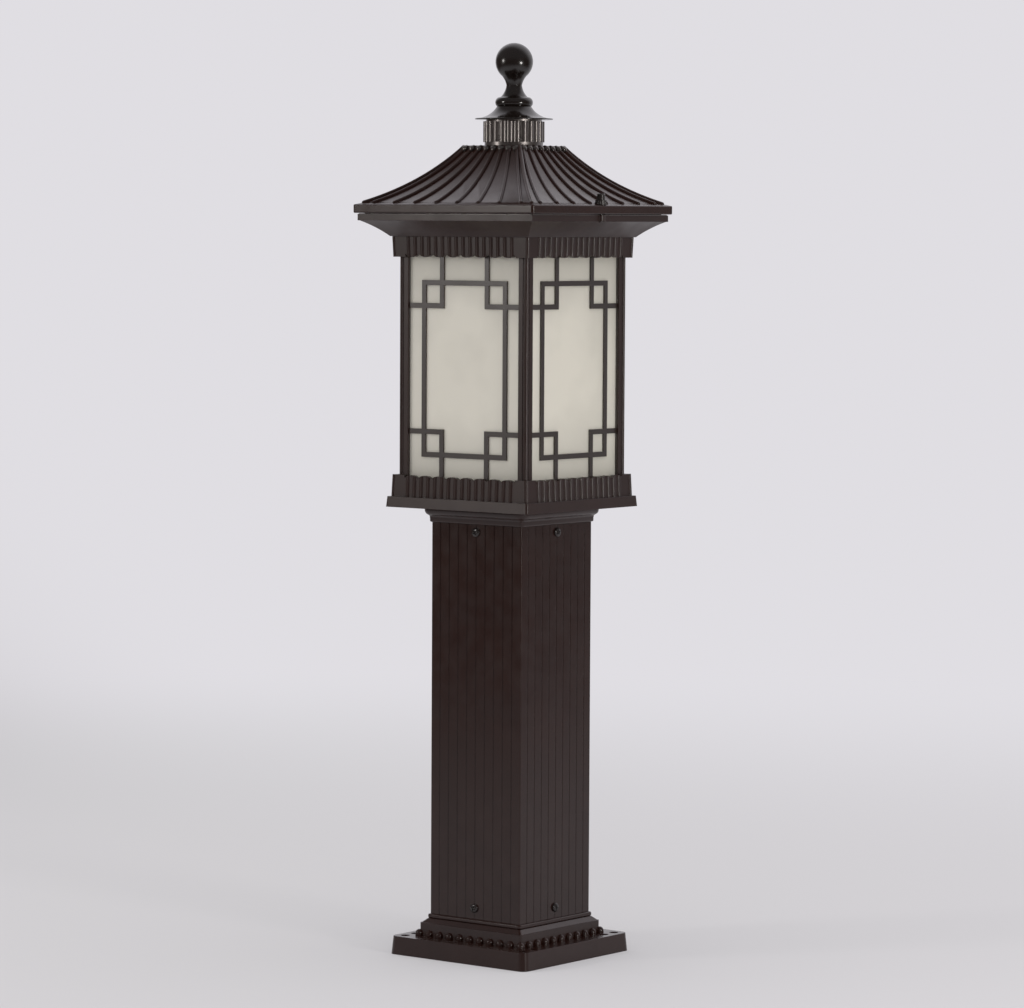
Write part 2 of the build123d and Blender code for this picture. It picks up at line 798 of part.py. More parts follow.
def roof_half(level, depth=0.0):
    """Half width of the roof's face at a level, or of the face that lies that deep under it."""
    return arc_centre.X - math.sqrt((roof_radius + depth) ** 2 - (arc_centre.Y - level) ** 2)


with BuildSketch() as roof_outline:
    margin_foot = lip_side / 2 - lip_round - lip_land
    with BuildLine():
        RadiusArc(spring_point, peak_point, roof_radius)
        Polyline(
            peak_point,
            (0, roof_top),
            (0, lip_top - lip_round),
            (margin_foot, lip_top - lip_round),
            (margin_foot, lip_top),
            spring_point,
        )
    make_face()
    mirror(about=Plane.YZ)
bore_half = roof_bore_side / 2
ceiling = roof_top - roof_wall
with BuildSketch() as roof_cavity:
    with BuildLine():
        RadiusArc(
            (bore_half, roof_level(bore_half, roof_wall)),
            (roof_half(ceiling, roof_wall), ceiling),
            roof_radius + roof_wall,
        )
        Polyline(
            (roof_half(ceiling, roof_wall), ceiling),
            (0, ceiling),
            (0, roof_foot - skirt_drop),
            (bore_half, roof_foot - skirt_drop),
            (bore_half, roof_level(bore_half, roof_wall)),
        )
    make_face()
    mirror(about=Plane.YZ)


def roof_rib(top_y, eave_y):
    """A half-sunk rib of eight flats up one face of the roof."""
    top_x = roof_top_side / 2 + rib_end_gap
    eave_x = spring_point.X + rib_end_gap / 2
    middle_x = (top_x + eave_x) / 2
    with BuildPart() as rib:
        with BuildLine():
            path = ThreePointArc(
                (top_x, top_y, roof_level(top_x)),
                (middle_x, (top_y + eave_y) / 2, roof_level(middle_x)),
                (eave_x, eave_y, roof_level(eave_x)),
            )
        rising = (path % 0).cross(Vector(-top_y, top_x, 0))
        with BuildSketch(Plane(path @ 0, x_dir=rising, z_dir=path % 0)):
            RegularPolygon(rib_radius, flats, rotation=half_flat)
        sweep()
    return rib.part


# Roof shell: lip, margin and curved faces over one cavity, a skirt that drops inside
# the crown, eight ribs on each face and one on each hip, and the moving hinge lugs
rib_steps = [i - (ribs_per_side - 1) / 2 for i in range(ribs_per_side)]
hip_top = roof_top_side / 2 + rib_end_gap
hip_eave = spring_point.X + rib_end_gap / 2
roof_ribs = [roof_rib(step * rib_top_pitch, step * rib_eave_pitch) for step in rib_steps]
roof_ribs.append(roof_rib(hip_top, hip_eave))
lid_lug_planes = [Plane((hinge_x, y, hinge_z), (1, 0, 0), (0, -1, 0)) for y in hinge_rows]
with BuildPart() as roof_shell:
    add(rounded_block(lip_side, roof_foot, lip_height, lip_corner, lip_round))
    add(four_sided(roof_outline.sketch))
    add(square_prism(roof_bore_side + 2 * skirt_wall, roof_foot - skirt_drop, roof_foot))
    with PolarLocations(0, 4):
        for rib in roof_ribs:
            add(rib)
    add(four_sided(roof_cavity.sketch), mode=Mode.SUBTRACT)
    with BuildSketch(*lid_lug_planes):
        Circle(knuckle_radius)
        with Locations((0, hinge_drop)):
            lug_reach = -hinge_x - lip_side / 2 + lip_round
            Rectangle(lug_reach, knuckle_radius - hinge_drop, align=(Align.MIN, Align.MIN))
        stop_turn = math.radians(lid_opening)
        stop_length = hinge_reach - stop_gap
        with Locations((stop_length / 2 * math.cos(stop_turn), -stop_length / 2 * math.sin(stop_turn))):
            Rectangle(stop_length, stop_width, rotation=-lid_opening)
        Circle(pin_radius + pin_clearance, mode=Mode.SUBTRACT)
    extrude(amount=lid_lug_width / 2, both=True)
    with Locations((roof_screw_x, 0, spot_face_z)):
        Hole(roof_screw_radius + roof_screw_gap, depth=2 * lip_height)
        Cylinder(spot_face_radius, 2 * lip_height, align=MIDDLE_FOOT, mode=Mode.SUBTRACT)
    with Locations((0, 0, roof_top)):
        Hole(stud_radius + stud_clearance, depth=2 * roof_wall)
finish(roof_shell.part, "roof_shell")

# Hinge pins, headed at one end and grooved at the other for a clip
grip = lid_lug_width + 2 * (lug_gap + crown_lug_width)
clip_inner = pin_radius - clip_groove
with BuildPart() as hinge_pins:
    with BuildSketch(Plane.XZ):
        with BuildLine():
            clip_z = grip / 2
            Polyline(
                (0, -clip_z - pin_head_height),
                (pin_head_radius, -clip_z - pin_head_height),
                (pin_head_radius, -clip_z),
                (pin_radius, -clip_z),
                (pin_radius, clip_z),
                (clip_inner, clip_z),
                (clip_inner, clip_z + clip_thickness),
                (pin_radius, clip_z + clip_thickness),
                (pin_radius, clip_z + 2 * clip_thickness),
                (0, clip_z + 2 * clip_thickness),
                close=True,
            )
        make_face()
    revolve(axis=Axis.Z)
pin_frames = [Plane((hinge_x, y, hinge_z), (1, 0, 0), (0, math.copysign(1, y), 0)) for y in hinge_rows]
with BuildPart() as placed_pins:
    with Locations(*pin_frames):
        add(hinge_pins.part)
finish(placed_pins.part, "hinge_pins")

with BuildPart() as hinge_clips:
    for frame in pin_frames:
        with BuildSketch(frame.offset(grip / 2)):
            Circle(clip_radius)
            Circle(clip_inner + pin_clearance, mode=Mode.SUBTRACT)
            clip_mouth = clip_mouth_ratio * clip_inner
            Rectangle(clip_mouth, clip_radius, align=(Align.CENTER, Align.MAX), mode=Mode.SUBTRACT)
        extrude(amount=clip_thickness)
finish(hinge_clips.part, "hinge_clips")

# Roof screw: knurled flange, plain hub and a shank through lid and crown
with BuildPart() as roof_screw:
    with BuildSketch(Plane.XY.offset(screw_washer_top)):
        Circle(screw_flange_radius)
        with PolarLocations(screw_flange_radius - knurl_sink, knurl_count):
            Circle(knurl_radius)
    extrude(amount=screw_flange_height)
    hub_foot = screw_washer_top + screw_flange_height
    with Locations((0, 0, hub_foot)):
        Cylinder(screw_hub_radius, screw_hub_height, align=MIDDLE_FOOT)
    chamfer(roof_screw.edges().group_by(Axis.Z)[-1], end_bevel_ratio * screw_hub_radius)
    with Locations((0, 0, screw_washer_top)):
        Cylinder(roof_screw_radius, roof_screw_reach, align=MIDDLE_HEAD)
    chamfer(roof_screw.edges().group_by(Axis.Z)[0], end_bevel_ratio * roof_screw_radius)
with BuildPart() as placed_screw:
    with Locations((roof_screw_x, 0, 0)):
        add(roof_screw.part)
finish(placed_screw.part, "roof_screw")

with BuildPart() as roof_screw_washer:
    with BuildSketch(Plane((roof_screw_x, 0, spot_face_z))):
        Circle(screw_washer_radius)
        Circle(roof_screw_radius + roof_screw_gap, mode=Mode.SUBTRACT)
    extrude(amount=screw_washer_thickness)
finish(roof_screw_washer.part, "roof_screw_washer")

# Finial drum: a plain ring, rounded reeds and a low seat for the hat, over a bore
stud_hole = stud_radius + stud_clearance
with BuildPart() as finial_drum:
    with BuildSketch(Plane.XY.offset(roof_top)):
        Circle(drum_ring_radius)
    extrude(amount=drum_ring_height)
    with BuildSketch(Plane.XY.offset(drum_foot)):
        Circle(drum_core_radius)
        with PolarLocations(drum_radius - drum_reed_radius, drum_reeds):
            Circle(drum_reed_radius)
    extrude(amount=drum_height)
    with BuildSketch(Plane.XY.offset(drum_top)):
        Circle(drum_seat_radius)
    extrude(amount=drum_seat_height)
    with Locations((0, 0, roof_top)):
        bore_height = hat_foot - roof_top - drum_cap
        Cylinder(drum_bore, bore_height, align=MIDDLE_FOOT, mode=Mode.SUBTRACT)
    with Locations((0, 0, hat_foot)):
        Hole(stud_hole, depth=2 * drum_cap)
finish(finial_drum.part, "finial_drum")

# Finial hat: a thin brim that sweeps up into a cone
with BuildPart() as finial_hat:
    with BuildSketch(Plane.XZ):
        with BuildLine():
            brim_edge = brim_radius - brim_thickness / 2
            ThreePointArc(
                (brim_edge, hat_foot),
                (brim_radius, hat_foot + brim_thickness / 2),
                (brim_edge, hat_foot + brim_thickness),
            )
            ThreePointArc(
                (brim_edge, hat_foot + brim_thickness),
                (hat_waist_radius, hat_foot + hat_waist_rise),
                (hat_top_radius, ball_foot),
            )
            Polyline(
                (hat_top_radius, ball_foot),
                (stud_hole, ball_foot),
                (stud_hole, hat_foot),
                (brim_edge, hat_foot),
            )
        make_face()
    revolve(axis=Axis.Z)
finish(finial_hat.part, "finial_hat")

# Finial ball: a rounded collar, a narrow neck and the ball, with a blind hole below
join_angle = math.radians(ball_join_angle)
ball_join = (ball_radius * math.cos(join_angle), ball_centre - ball_radius * math.sin(join_angle))
collar_top = ball_foot + collar_height
collar_top_radius = hat_top_radius - collar_step_in
neck_foot = collar_top + collar_step_up
throat = (neck_radius, ball_foot + neck_rise)
neck_middle = (
    (neck_shoulder_radius + neck_radius) / 2 - neck_hollow[0],
    (collar_top + throat[1]) / 2 - neck_hollow[1],
)
throat_middle = (
    (neck_radius + ball_join[0]) / 2 - throat_hollow[0],
    (throat[1] + ball_join[1]) / 2 - throat_hollow[1],
)
with BuildPart() as finial_ball:
    with BuildSketch(Plane.XZ):
        with BuildLine():
            ThreePointArc(
                (hat_top_radius, ball_foot),
                (collar_radius, ball_foot + collar_height / 2),
                (collar_top_radius, collar_top),
            )
            ThreePointArc(
                (neck_shoulder_radius, neck_foot),
                neck_middle,
                throat,
            )
            ThreePointArc(
                throat,
                throat_middle,
                ball_join,
            )
            ThreePointArc(ball_join, (ball_radius, ball_centre), (0, ball_centre + ball_radius))
            Line((collar_top_radius, collar_top), (neck_shoulder_radius, neck_foot))
            Polyline((0, ball_centre + ball_radius), (0, ball_foot), (hat_top_radius, ball_foot))
        make_face()
    revolve(axis=Axis.Z)
    with Locations((0, 0, ball_foot)):
        Cylinder(stud_radius + tapped_hole, stud_reach + stud_end_gap, align=MIDDLE_FOOT, mode=Mode.SUBTRACT)
finish(finial_ball.part, "finial_ball")

# Stud through the whole finial, with its washer and nut under the roof's ceiling
with BuildPart() as finial_stud:
    with Locations((0, 0, ceiling - stud_tail)):
        Cylinder(stud_radius, ball_foot + stud_reach - ceiling + stud_tail, align=MIDDLE_FOOT)
    chamfer(finial_stud.edges().filter_by(GeomType.CIRCLE), end_bevel_ratio * stud_radius)
finish(finial_stud.part, "finial_stud")

with BuildPart() as finial_washer:
    with BuildSketch(Plane.XY.offset(ceiling)):
        Circle(stud_washer_radius)
        Circle(stud_radius + free_hole, mode=Mode.SUBTRACT)
    extrude(amount=-stud_washer_thickness)
finish(finial_washer.part, "finial_washer")

with BuildPart() as finial_nut:
    with BuildSketch(Plane.XY.offset(ceiling - stud_washer_thickness)):
        RegularPolygon(stud_nut_width / 2, 6, major_radius=False)
        Circle(stud_radius + tapped_hole, mode=Mode.SUBTRACT)
    extrude(amount=-stud_nut_height)
finish(finial_nut.part, "finial_nut")

# Lamp bracket: a bent strip that lifts the lampholder over the cable's way
with BuildPart() as lamp_bracket:
    with BuildSketch(Plane((0, 0, tray_floor), (1, 0, 0), (0, -1, 0))):
        with BuildLine():
            foot_line = bracket_thickness / 2
            head_line = bracket_height - bracket_thickness / 2
            leg = bracket_span / 2
            foot_end = leg + bracket_foot
            FilletPolyline(
                (-foot_end, foot_line),
                (-leg, foot_line),
                (-leg, head_line),
                (leg, head_line),
                (leg, foot_line),
                (foot_end, foot_line),
                radius=bracket_bend,
            )
        trace(line_width=bracket_thickness)
    extrude(amount=bracket_width / 2, both=True)
    with Locations(*level_points(gear_screws, tray_floor + bracket_thickness)):
        Hole(m4 + free_hole, depth=bracket_thickness)
    with Locations(*[(x * holder_screw_span / 2, 0, holder_foot) for x in (-1, 1)]):
        Hole(m3 + tapped_hole, depth=bracket_thickness)
finish(lamp_bracket.part, "lamp_bracket")

with BuildPart() as bracket_screws:
    with Locations(*level_points(gear_screws, tray_floor + bracket_thickness)):
        add(pan_screw(m4, bracket_thickness + tray_skin + gear_screw_tail))
finish(bracket_screws.part, "bracket_screws")

# Lampholder: a ceramic cup with a threaded shell, a contact and two fixing screws
with BuildPart() as lampholder_body:
    with Locations((0, 0, holder_foot)):
        Cylinder(holder_radius, holder_height, align=MIDDLE_FOOT)
    chamfer(lampholder_body.edges().group_by(Axis.Z)[-1], holder_chamfer)
    with Locations((0, 0, holder_foot + holder_height)):
        Hole(holder_bore, depth=holder_height - holder_floor)
    with Locations(*[(x * holder_screw_span / 2, 0, holder_floor_z) for x in (-1, 1)]):
        Hole(m3 + free_hole, depth=holder_floor)
    with Locations(*[(x, holder_lead_y, holder_foot) for x in pole_rows[:2]]):
        Cylinder(lead_hole, holder_lead_depth + lead_end_gap, align=MIDDLE_FOOT, mode=Mode.SUBTRACT)
finish(lampholder_body.part, "lampholder_body")

with BuildPart() as lampholder_shell:
    shell_radius = holder_bore - shell_gap
    with BuildSketch(Plane.XY.offset(holder_floor_z)):
        Circle(shell_radius)
        Circle(shell_radius - shell_thickness, mode=Mode.SUBTRACT)
    extrude(amount=shell_height)
finish(lampholder_shell.part, "lampholder_shell")

with BuildPart() as lampholder_contact:
    with Locations((0, 0, holder_floor_z)):
        Cylinder(contact_radius, contact_height, align=MIDDLE_FOOT)
    chamfer(lampholder_contact.edges().group_by(Axis.Z)[-1], contact_bevel)
finish(lampholder_contact.part, "lampholder_contact")

with BuildPart() as lampholder_screws:
    with Locations(*[(x * holder_screw_span / 2, 0, holder_floor_z) for x in (-1, 1)]):
        add(pan_screw(m3, holder_floor + bracket_thickness + gear_screw_tail))
finish(lampholder_screws.part, "lampholder_screws")

# Bulb: a screw cap with a centre contact, and a round globe on a tapered neck
with BuildPart() as bulb_cap:
    with Locations((0, 0, cap_foot)):
        Cone(cap_tip_radius, cap_radius, cap_tip_height, align=MIDDLE_FOOT)
    with Locations((0, 0, cap_foot + cap_tip_height)):
        Cylinder(cap_radius, cap_height, align=MIDDLE_FOOT)
finish(bulb_cap.part, "bulb_cap")

globe_join_angle = math.radians(globe_join_turn)
globe_join = (
    globe_radius * math.cos(globe_join_angle),
    globe_centre - globe_radius * math.sin(globe_join_angle),
)
with BuildPart() as bulb_globe:
    with BuildSketch(Plane.XZ):
        with BuildLine():
            ThreePointArc(globe_join, (globe_radius, globe_centre), (0, globe_centre + globe_radius))
            Polyline(
                (0, globe_centre + globe_radius),
                (0, globe_foot),
                (globe_neck_radius, globe_foot),
                globe_join,
            )
        make_face()
    revolve(axis=Axis.Z)
finish(bulb_globe.part, "bulb_globe")

# Terminal block for the supply cable, with through poles and two fixing holes
with BuildPart() as terminal_block:
    with BuildSketch(Plane((*terminal_place, tray_floor))):
        RectangleRounded(terminal_length, terminal_depth, terminal_corner)
    extrude(amount=terminal_height)
    with Locations(*[Plane((x, terminal_place[1], pole_z), (1, 0, 0), (0, -1, 0)) for x in pole_rows]):
        Cylinder(lead_hole, 2 * terminal_depth, mode=Mode.SUBTRACT)
    with Locations(*level_points(terminal_fixings, tray_floor + terminal_height)):
        CounterBoreHole(m3 + free_hole, head_ratio * m3 + free_hole, terminal_height / 2)
    pole_screw_rows = [terminal_place[1] + step * pole_screw_step / 2 for step in (-1, 1)]
    pole_screw_places = [(x, y) for x in pole_rows for y in pole_screw_rows]
    with Locations(*level_points(pole_screw_places, tray_floor + terminal_height)):
        Hole(m3 + tapped_hole, depth=terminal_height - pole_rise)
finish(terminal_block.part, "terminal_block")

with BuildPart() as terminal_screws:
    screw_foot = pole_z + lead_radius + tapped_hole
    with Locations(*level_points(pole_screw_places, screw_foot)):
        Cylinder(m3, tray_floor + terminal_height - screw_foot - pole_screw_sink, align=MIDDLE_FOOT)
finish(terminal_screws.part, "terminal_screws")

with BuildPart() as terminal_fixing_screws:
    with Locations(*level_points(terminal_fixings, tray_floor + terminal_height / 2)):
        add(pan_screw(m3, terminal_height / 2 + tray_skin + gear_screw_tail))
finish(terminal_fixing_screws.part, "terminal_fixing_screws")

# Cable clamp: a saddle over the supply cable, and its two screws
with BuildPart() as cable_clamp:
    with BuildSketch(Plane((*clamp_place, tray_floor), (1, 0, 0), (0, -1, 0))):
        Rectangle(clamp_length, clamp_thickness, align=(Align.CENTER, Align.MIN))
        with Locations((0, clamp_arch)):
            Circle(clamp_arch + clamp_thickness)
        with Locations((0, clamp_arch)):
            Circle(clamp_arch, mode=Mode.SUBTRACT)
        Rectangle(2 * clamp_arch, clamp_arch, align=(Align.CENTER, Align.MIN), mode=Mode.SUBTRACT)
        Rectangle(clamp_length, clamp_length, align=(Align.CENTER, Align.MAX), mode=Mode.SUBTRACT)
    extrude(amount=clamp_width / 2, both=True)
    with Locations(*level_points(clamp_screws, tray_floor + clamp_thickness)):
        Hole(m3 + free_hole, depth=clamp_thickness)
finish(cable_clamp.part, "cable_clamp")

with BuildPart() as cable_clamp_screws:
    with Locations(*level_points(clamp_screws, tray_floor + clamp_thickness)):
        add(pan_screw(m3, clamp_thickness + tray_skin + gear_screw_tail))
finish(cable_clamp_screws.part, "cable_clamp_screws")


def bend_radius(first_run, second_run, turn):
    """The largest tidy bend between two runs that meet at the given turn in degrees."""
    return bend_share * min(first_run, second_run) / math.tan(math.radians(turn) / 2)


def lead(points):
    """A round insulated lead along straight runs joined by tangent arcs."""
    route = [Vector(*point) for point in points]
    runs = [end - start for start, end in zip(route, route[1:])]
    radii = [bend_radius(a.length, b.length, a.get_angle(b)) for a, b in zip(runs, runs[1:])]
    with BuildPart() as wire:
        with BuildLine():
            path = FilletPolyline(*route, radius=radii)
        with BuildSketch(Plane(path @ 0, z_dir=path % 0)):
            Circle(lead_radius)
        sweep()
    length = path.length
    section = math.pi * lead_radius**2
    share = wire.part.volume / (section * length)
    print("lead radii", [round(radius, 1) for radius in radii], "length", round(length, 1), round(share, 4))
    return wire.part


# Leads from the terminal block: two up into the lampholder, one to the earth screw
lead_start = terminal_place[1] - terminal_depth / 2 + lead_inset
for name, x in zip(("live_lead", "neutral_lead"), pole_rows):
    finish(
        lead(
            [
                (x, lead_start, pole_z),
                (x, holder_lead_y, pole_z),
                (x, holder_lead_y, holder_foot + holder_lead_depth),
            ]
        ),
        name,
    )

tag_axis_z = tray_floor + tag_barrel_radius
barrel_start = earth_screw_y + tag_radius + tag_gap
barrel_end = barrel_start + tag_barrel_length
block_face = terminal_place[1] - terminal_depth / 2
earth_x = earth_place[0]
finish(
    lead(
        [
            (earth_x, lead_start, pole_z),
            (earth_x, block_face - earth_drop_start, pole_z),
            (earth_x, block_face - earth_drop_end, tag_axis_z),
            (earth_x, barrel_end, tag_axis_z),
        ]
    ),
    "earth_lead",
)

with BuildPart() as earth_tag:
    with BuildSketch(Plane((*earth_place, tray_floor))):
        Circle(tag_radius)
        tongue = barrel_start + tag_barrel_length / 2 - earth_screw_y
        Rectangle(2 * tag_barrel_radius, tongue, align=(Align.CENTER, Align.MIN))
    extrude(amount=tag_thickness)
    with Locations(Plane((earth_x, barrel_start, tag_axis_z), (1, 0, 0), (0, 1, 0))):
        Cylinder(tag_barrel_radius, tag_barrel_length, align=MIDDLE_FOOT)
    with Locations((*earth_place, tray_floor + tag_thickness)):
        Hole(m4 + free_hole, depth=2 * tag_barrel_radius)
finish(earth_tag.part, "earth_tag")

with BuildPart() as earth_screw:
    with Locations((*earth_place, tray_floor + tag_thickness)):
        add(pan_screw(m4, tag_thickness + tray_skin + screw_tail))
finish(earth_screw.part, "earth_screw")
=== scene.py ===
# %% [markdown]
# # The post lantern's looks
# The lantern's pieces, joints and sizes are made already. This lesson gives every piece its
# finish, adds the small rounded shapes that catch the light, and sets up the studio.
# Everything is in metres, with the ground at z = 0, the front at -Y and the roof screw at +X.

# %% Load the frame
import math

import bmesh
import bpy
import numpy as np
from mathutils import Euler, Matrix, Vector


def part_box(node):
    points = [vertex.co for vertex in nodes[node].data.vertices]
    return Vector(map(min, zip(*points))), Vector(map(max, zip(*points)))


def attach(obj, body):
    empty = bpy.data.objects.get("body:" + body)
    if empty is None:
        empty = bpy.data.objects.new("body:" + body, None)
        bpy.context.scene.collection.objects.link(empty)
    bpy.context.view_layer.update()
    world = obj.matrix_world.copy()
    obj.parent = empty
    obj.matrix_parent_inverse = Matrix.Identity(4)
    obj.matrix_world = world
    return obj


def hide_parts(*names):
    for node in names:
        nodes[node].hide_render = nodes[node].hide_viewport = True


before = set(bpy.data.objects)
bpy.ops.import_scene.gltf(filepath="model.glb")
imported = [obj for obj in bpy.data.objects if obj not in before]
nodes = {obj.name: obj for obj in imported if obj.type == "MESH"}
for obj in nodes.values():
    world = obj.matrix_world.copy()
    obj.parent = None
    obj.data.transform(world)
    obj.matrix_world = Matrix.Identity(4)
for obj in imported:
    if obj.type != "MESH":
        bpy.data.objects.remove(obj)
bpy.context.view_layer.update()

MM = 0.001

# %% [markdown]
# ## Camera
# The picture was taken from about the height of the lantern's head, with a long lens, a
# little left of its front corner. The camera looks at the lantern's middle, so it points
# slightly down, and the head comes out a little wider than the foot, as in the picture.
# It is turned by a third of a degree about its own axis, as the picture is.

# %% Camera
view_angle = math.radians(38.28)
camera_distance = 4.797
eye_height = 0.807
middle_height = 0.496
ahead = np.array([-math.sin(view_angle), math.cos(view_angle), 0.0])
rightward = np.array([math.cos(view_angle), math.sin(view_angle), 0.0])
look_down = math.atan2(eye_height - middle_height, camera_distance)
camera_roll = math.radians(0.30)

camera_data = bpy.data.cameras.new("camera")
camera_data.lens = 153.9
camera_data.sensor_width = 36
camera = bpy.data.objects.new("camera", camera_data)
bpy.context.scene.collection.objects.link(camera)
bpy.context.scene.camera = camera
camera.location = -camera_distance * ahead + np.array([0, 0, eye_height])
aimed = Euler((math.pi / 2 - look_down, 0, view_angle)).to_matrix()
camera.rotation_euler = (aimed @ Matrix.Rotation(camera_roll, 3, "Z")).to_euler()
print("camera at", [round(v, 3) for v in camera.location])

# %% [markdown]
# ## Shader nodes by hand
# Every finish here is a small tree of shader nodes. They could be drawn in the shader
# editor, but a few short helpers keep each tree readable: one adds a node, one joins two
# sockets, and the rest are the steps that come back in tree after tree.

# %% Node helpers
mix_first, mix_second, mix_result = 6, 7, 2


def add_node(tree, kind, **settings):
    """Adds a shader node. A setting is a property of the node, or the value of a socket."""
    node = tree.nodes.new(kind)
    for key, value in settings.items():
        if key in node.inputs:
            node.inputs[key].default_value = value
        else:
            setattr(node, key, value)
    return node


def set_inputs(node, values):
    """Sets sockets by their own names, which may hold spaces."""
    for key, value in values.items():
        node.inputs[key].default_value = value
    return node


def link(tree, start, end):
    """Joins an output socket to an input socket."""
    tree.links.new(start, end)


def two_tone(tree, share, first, second):
    """The first colour where share is 0 and the second where it is 1. Each is a triple or a socket."""
    blend = add_node(tree, "ShaderNodeMix", data_type="RGBA")
    link(tree, share, blend.inputs["Factor"])
    for index, colour in ((mix_first, first), (mix_second, second)):
        if isinstance(colour, tuple):
            blend.inputs[index].default_value = (*colour, 1)
        else:
            link(tree, colour, blend.inputs[index])
    return blend.outputs[mix_result]


def eased_range(tree, value, start, end, low=0.0, high=1.0):
    """low where value is below start, high where it is above end, and a smooth step between."""
    step = add_node(tree, "ShaderNodeMapRange", interpolation_type="SMOOTHSTEP")
    set_inputs(step, {"From Min": start, "From Max": end, "To Min": low, "To Max": high})
    link(tree, value, step.inputs["Value"])
    return step.outputs["Result"]


def dot_product(tree, vector, direction):
    """How far a vector reaches along a fixed direction: the sum of their products along X, Y and Z."""
    product = add_node(tree, "ShaderNodeVectorMath", operation="DOT_PRODUCT")
    link(tree, vector, product.inputs[0])
    product.inputs[1].default_value = direction
    return product.outputs["Value"]


print("mixes read their colours from sockets", mix_first, "and", mix_second)

# %% [markdown]
# ## Studio
# A dark glossy coat shows what stands round it more than its own colour. The picture has a
# pale sweep behind the lantern, a dim room at the camera's back, and one soft lamp on each
# side, level with the head: they are the two bright spots on the ball. The same room is
# painted here in the world, pale ahead of the camera and dim behind it. Plain even light
# takes its place for every other ray, so that the room doesn't tint the object.

# %% What rays see
sweep_turn = math.radians(108)
sweep_rise = math.radians(25)
sweep_edge, sweep_full = 0.36, 0.80
sweep_middle = (
    math.cos(sweep_turn) * math.cos(sweep_rise),
    math.sin(sweep_turn) * math.cos(sweep_rise),
    math.sin(sweep_rise),
)


def seen_rays(tree):
    """1 for a ray of the camera, of a reflection or through glass, and 0 for light."""
    path = add_node(tree, "ShaderNodeLightPath")
    first = add_node(tree, "ShaderNodeMath", operation="MAXIMUM")
    both = add_node(tree, "ShaderNodeMath", operation="MAXIMUM")
    link(tree, path.outputs["Is Camera Ray"], first.inputs[0])
    link(tree, path.outputs["Is Glossy Ray"], first.inputs[1])
    link(tree, first.outputs[0], both.inputs[0])
    link(tree, path.outputs["Is Transmission Ray"], both.inputs[1])
    return both.outputs[0]


def sweep_share(tree, direction):
    """How far a direction looks at the pale sweep: its cosine to the sweep's middle, eased."""
    return eased_range(tree, dot_product(tree, direction, sweep_middle), sweep_edge, sweep_full)


print("the sweep's middle lies toward", [round(v, 2) for v in sweep_middle])

# %% World
sweep_colour = (0.745, 0.730, 0.765)
room_colour = (0.100, 0.080, 0.074)
upper_sweep = (0.98, 0.95, 1.0)
upper_room = (0.20, 0.19, 0.195)
even_light = (0.88, 0.87, 0.88, 1)
rise_start, rise_end = 0.08, 0.45

world = bpy.data.worlds.new("studio")
bpy.context.scene.world = world
world.use_nodes = True
tree = world.node_tree
tree.nodes.clear()
direction = add_node(tree, "ShaderNodeTexCoord").outputs["Generated"]
height = add_node(tree, "ShaderNodeSeparateXYZ")
link(tree, direction, height.inputs[0])
upward = eased_range(tree, height.outputs["Z"], rise_start, rise_end)
behind = two_tone(tree, upward, room_colour, upper_room)
in_front = two_tone(tree, upward, sweep_colour, upper_sweep)
seen = add_node(tree, "ShaderNodeBackground")
link(tree, two_tone(tree, sweep_share(tree, direction), behind, in_front), seen.inputs["Color"])
soft_light = add_node(tree, "ShaderNodeBackground", Color=even_light)
either = add_node(tree, "ShaderNodeMixShader")
link(tree, seen_rays(tree), either.inputs["Fac"])
link(tree, soft_light.outputs[0], either.inputs[1])
link(tree, seen.outputs[0], either.inputs[2])
output = add_node(tree, "ShaderNodeOutputWorld")
link(tree, either.outputs[0], output.inputs["Surface"])
print("world", sweep_colour, "ahead and", room_colour, "behind")

# %% [markdown]
# The floor is a wide flat disc, with painted light that makes it a little paler to the right,
# as in the picture. Near the lantern most of its colour is real light, so that it takes the
# soft shadows. Further out it goes over to the room's own colour, so no edge and no horizon
# shows.

# %% Floor
floor_radius = 60.0
floor_sides = 96
paper_left_shaded = (0.655, 0.650, 0.668)
paper_right_lit = (0.765, 0.752, 0.790)
paper_lit = (0.66, 0.65, 0.665, 1)
slant_reach = 0.6
fade_start, fade_end = 0.7, 3.2
glow_start, glow_end, glow_near = 0.6, 3.0, 0.22


def ring_points(radius, count):
    """Points on a level circle: (r cos a, r sin a) for count even steps of a."""
    angle = np.arange(count) * 2 * np.pi / count
    return np.stack([radius * np.cos(angle), radius * np.sin(angle), np.zeros(count)], axis=1)


floor_mesh = bpy.data.meshes.new("floor")
floor_points = ring_points(floor_radius, floor_sides)
floor_mesh.from_pydata(floor_points.tolist(), [], [list(range(floor_sides))])
floor = bpy.data.objects.new("floor", floor_mesh)
bpy.context.scene.collection.objects.link(floor)
print("floor radius", floor_radius)

# %% Floor's paper
floor_paint = bpy.data.materials.new("floor_paper")
floor_paint.use_nodes = True
tree = floor_paint.node_tree
tree.nodes.clear()
place = add_node(tree, "ShaderNodeTexCoord").outputs["Object"]
outward = add_node(tree, "ShaderNodeVectorMath", operation="NORMALIZE")
link(tree, place, outward.inputs[0])
distance = add_node(tree, "ShaderNodeVectorMath", operation="LENGTH")
link(tree, place, distance.inputs[0])
distance = distance.outputs["Value"]
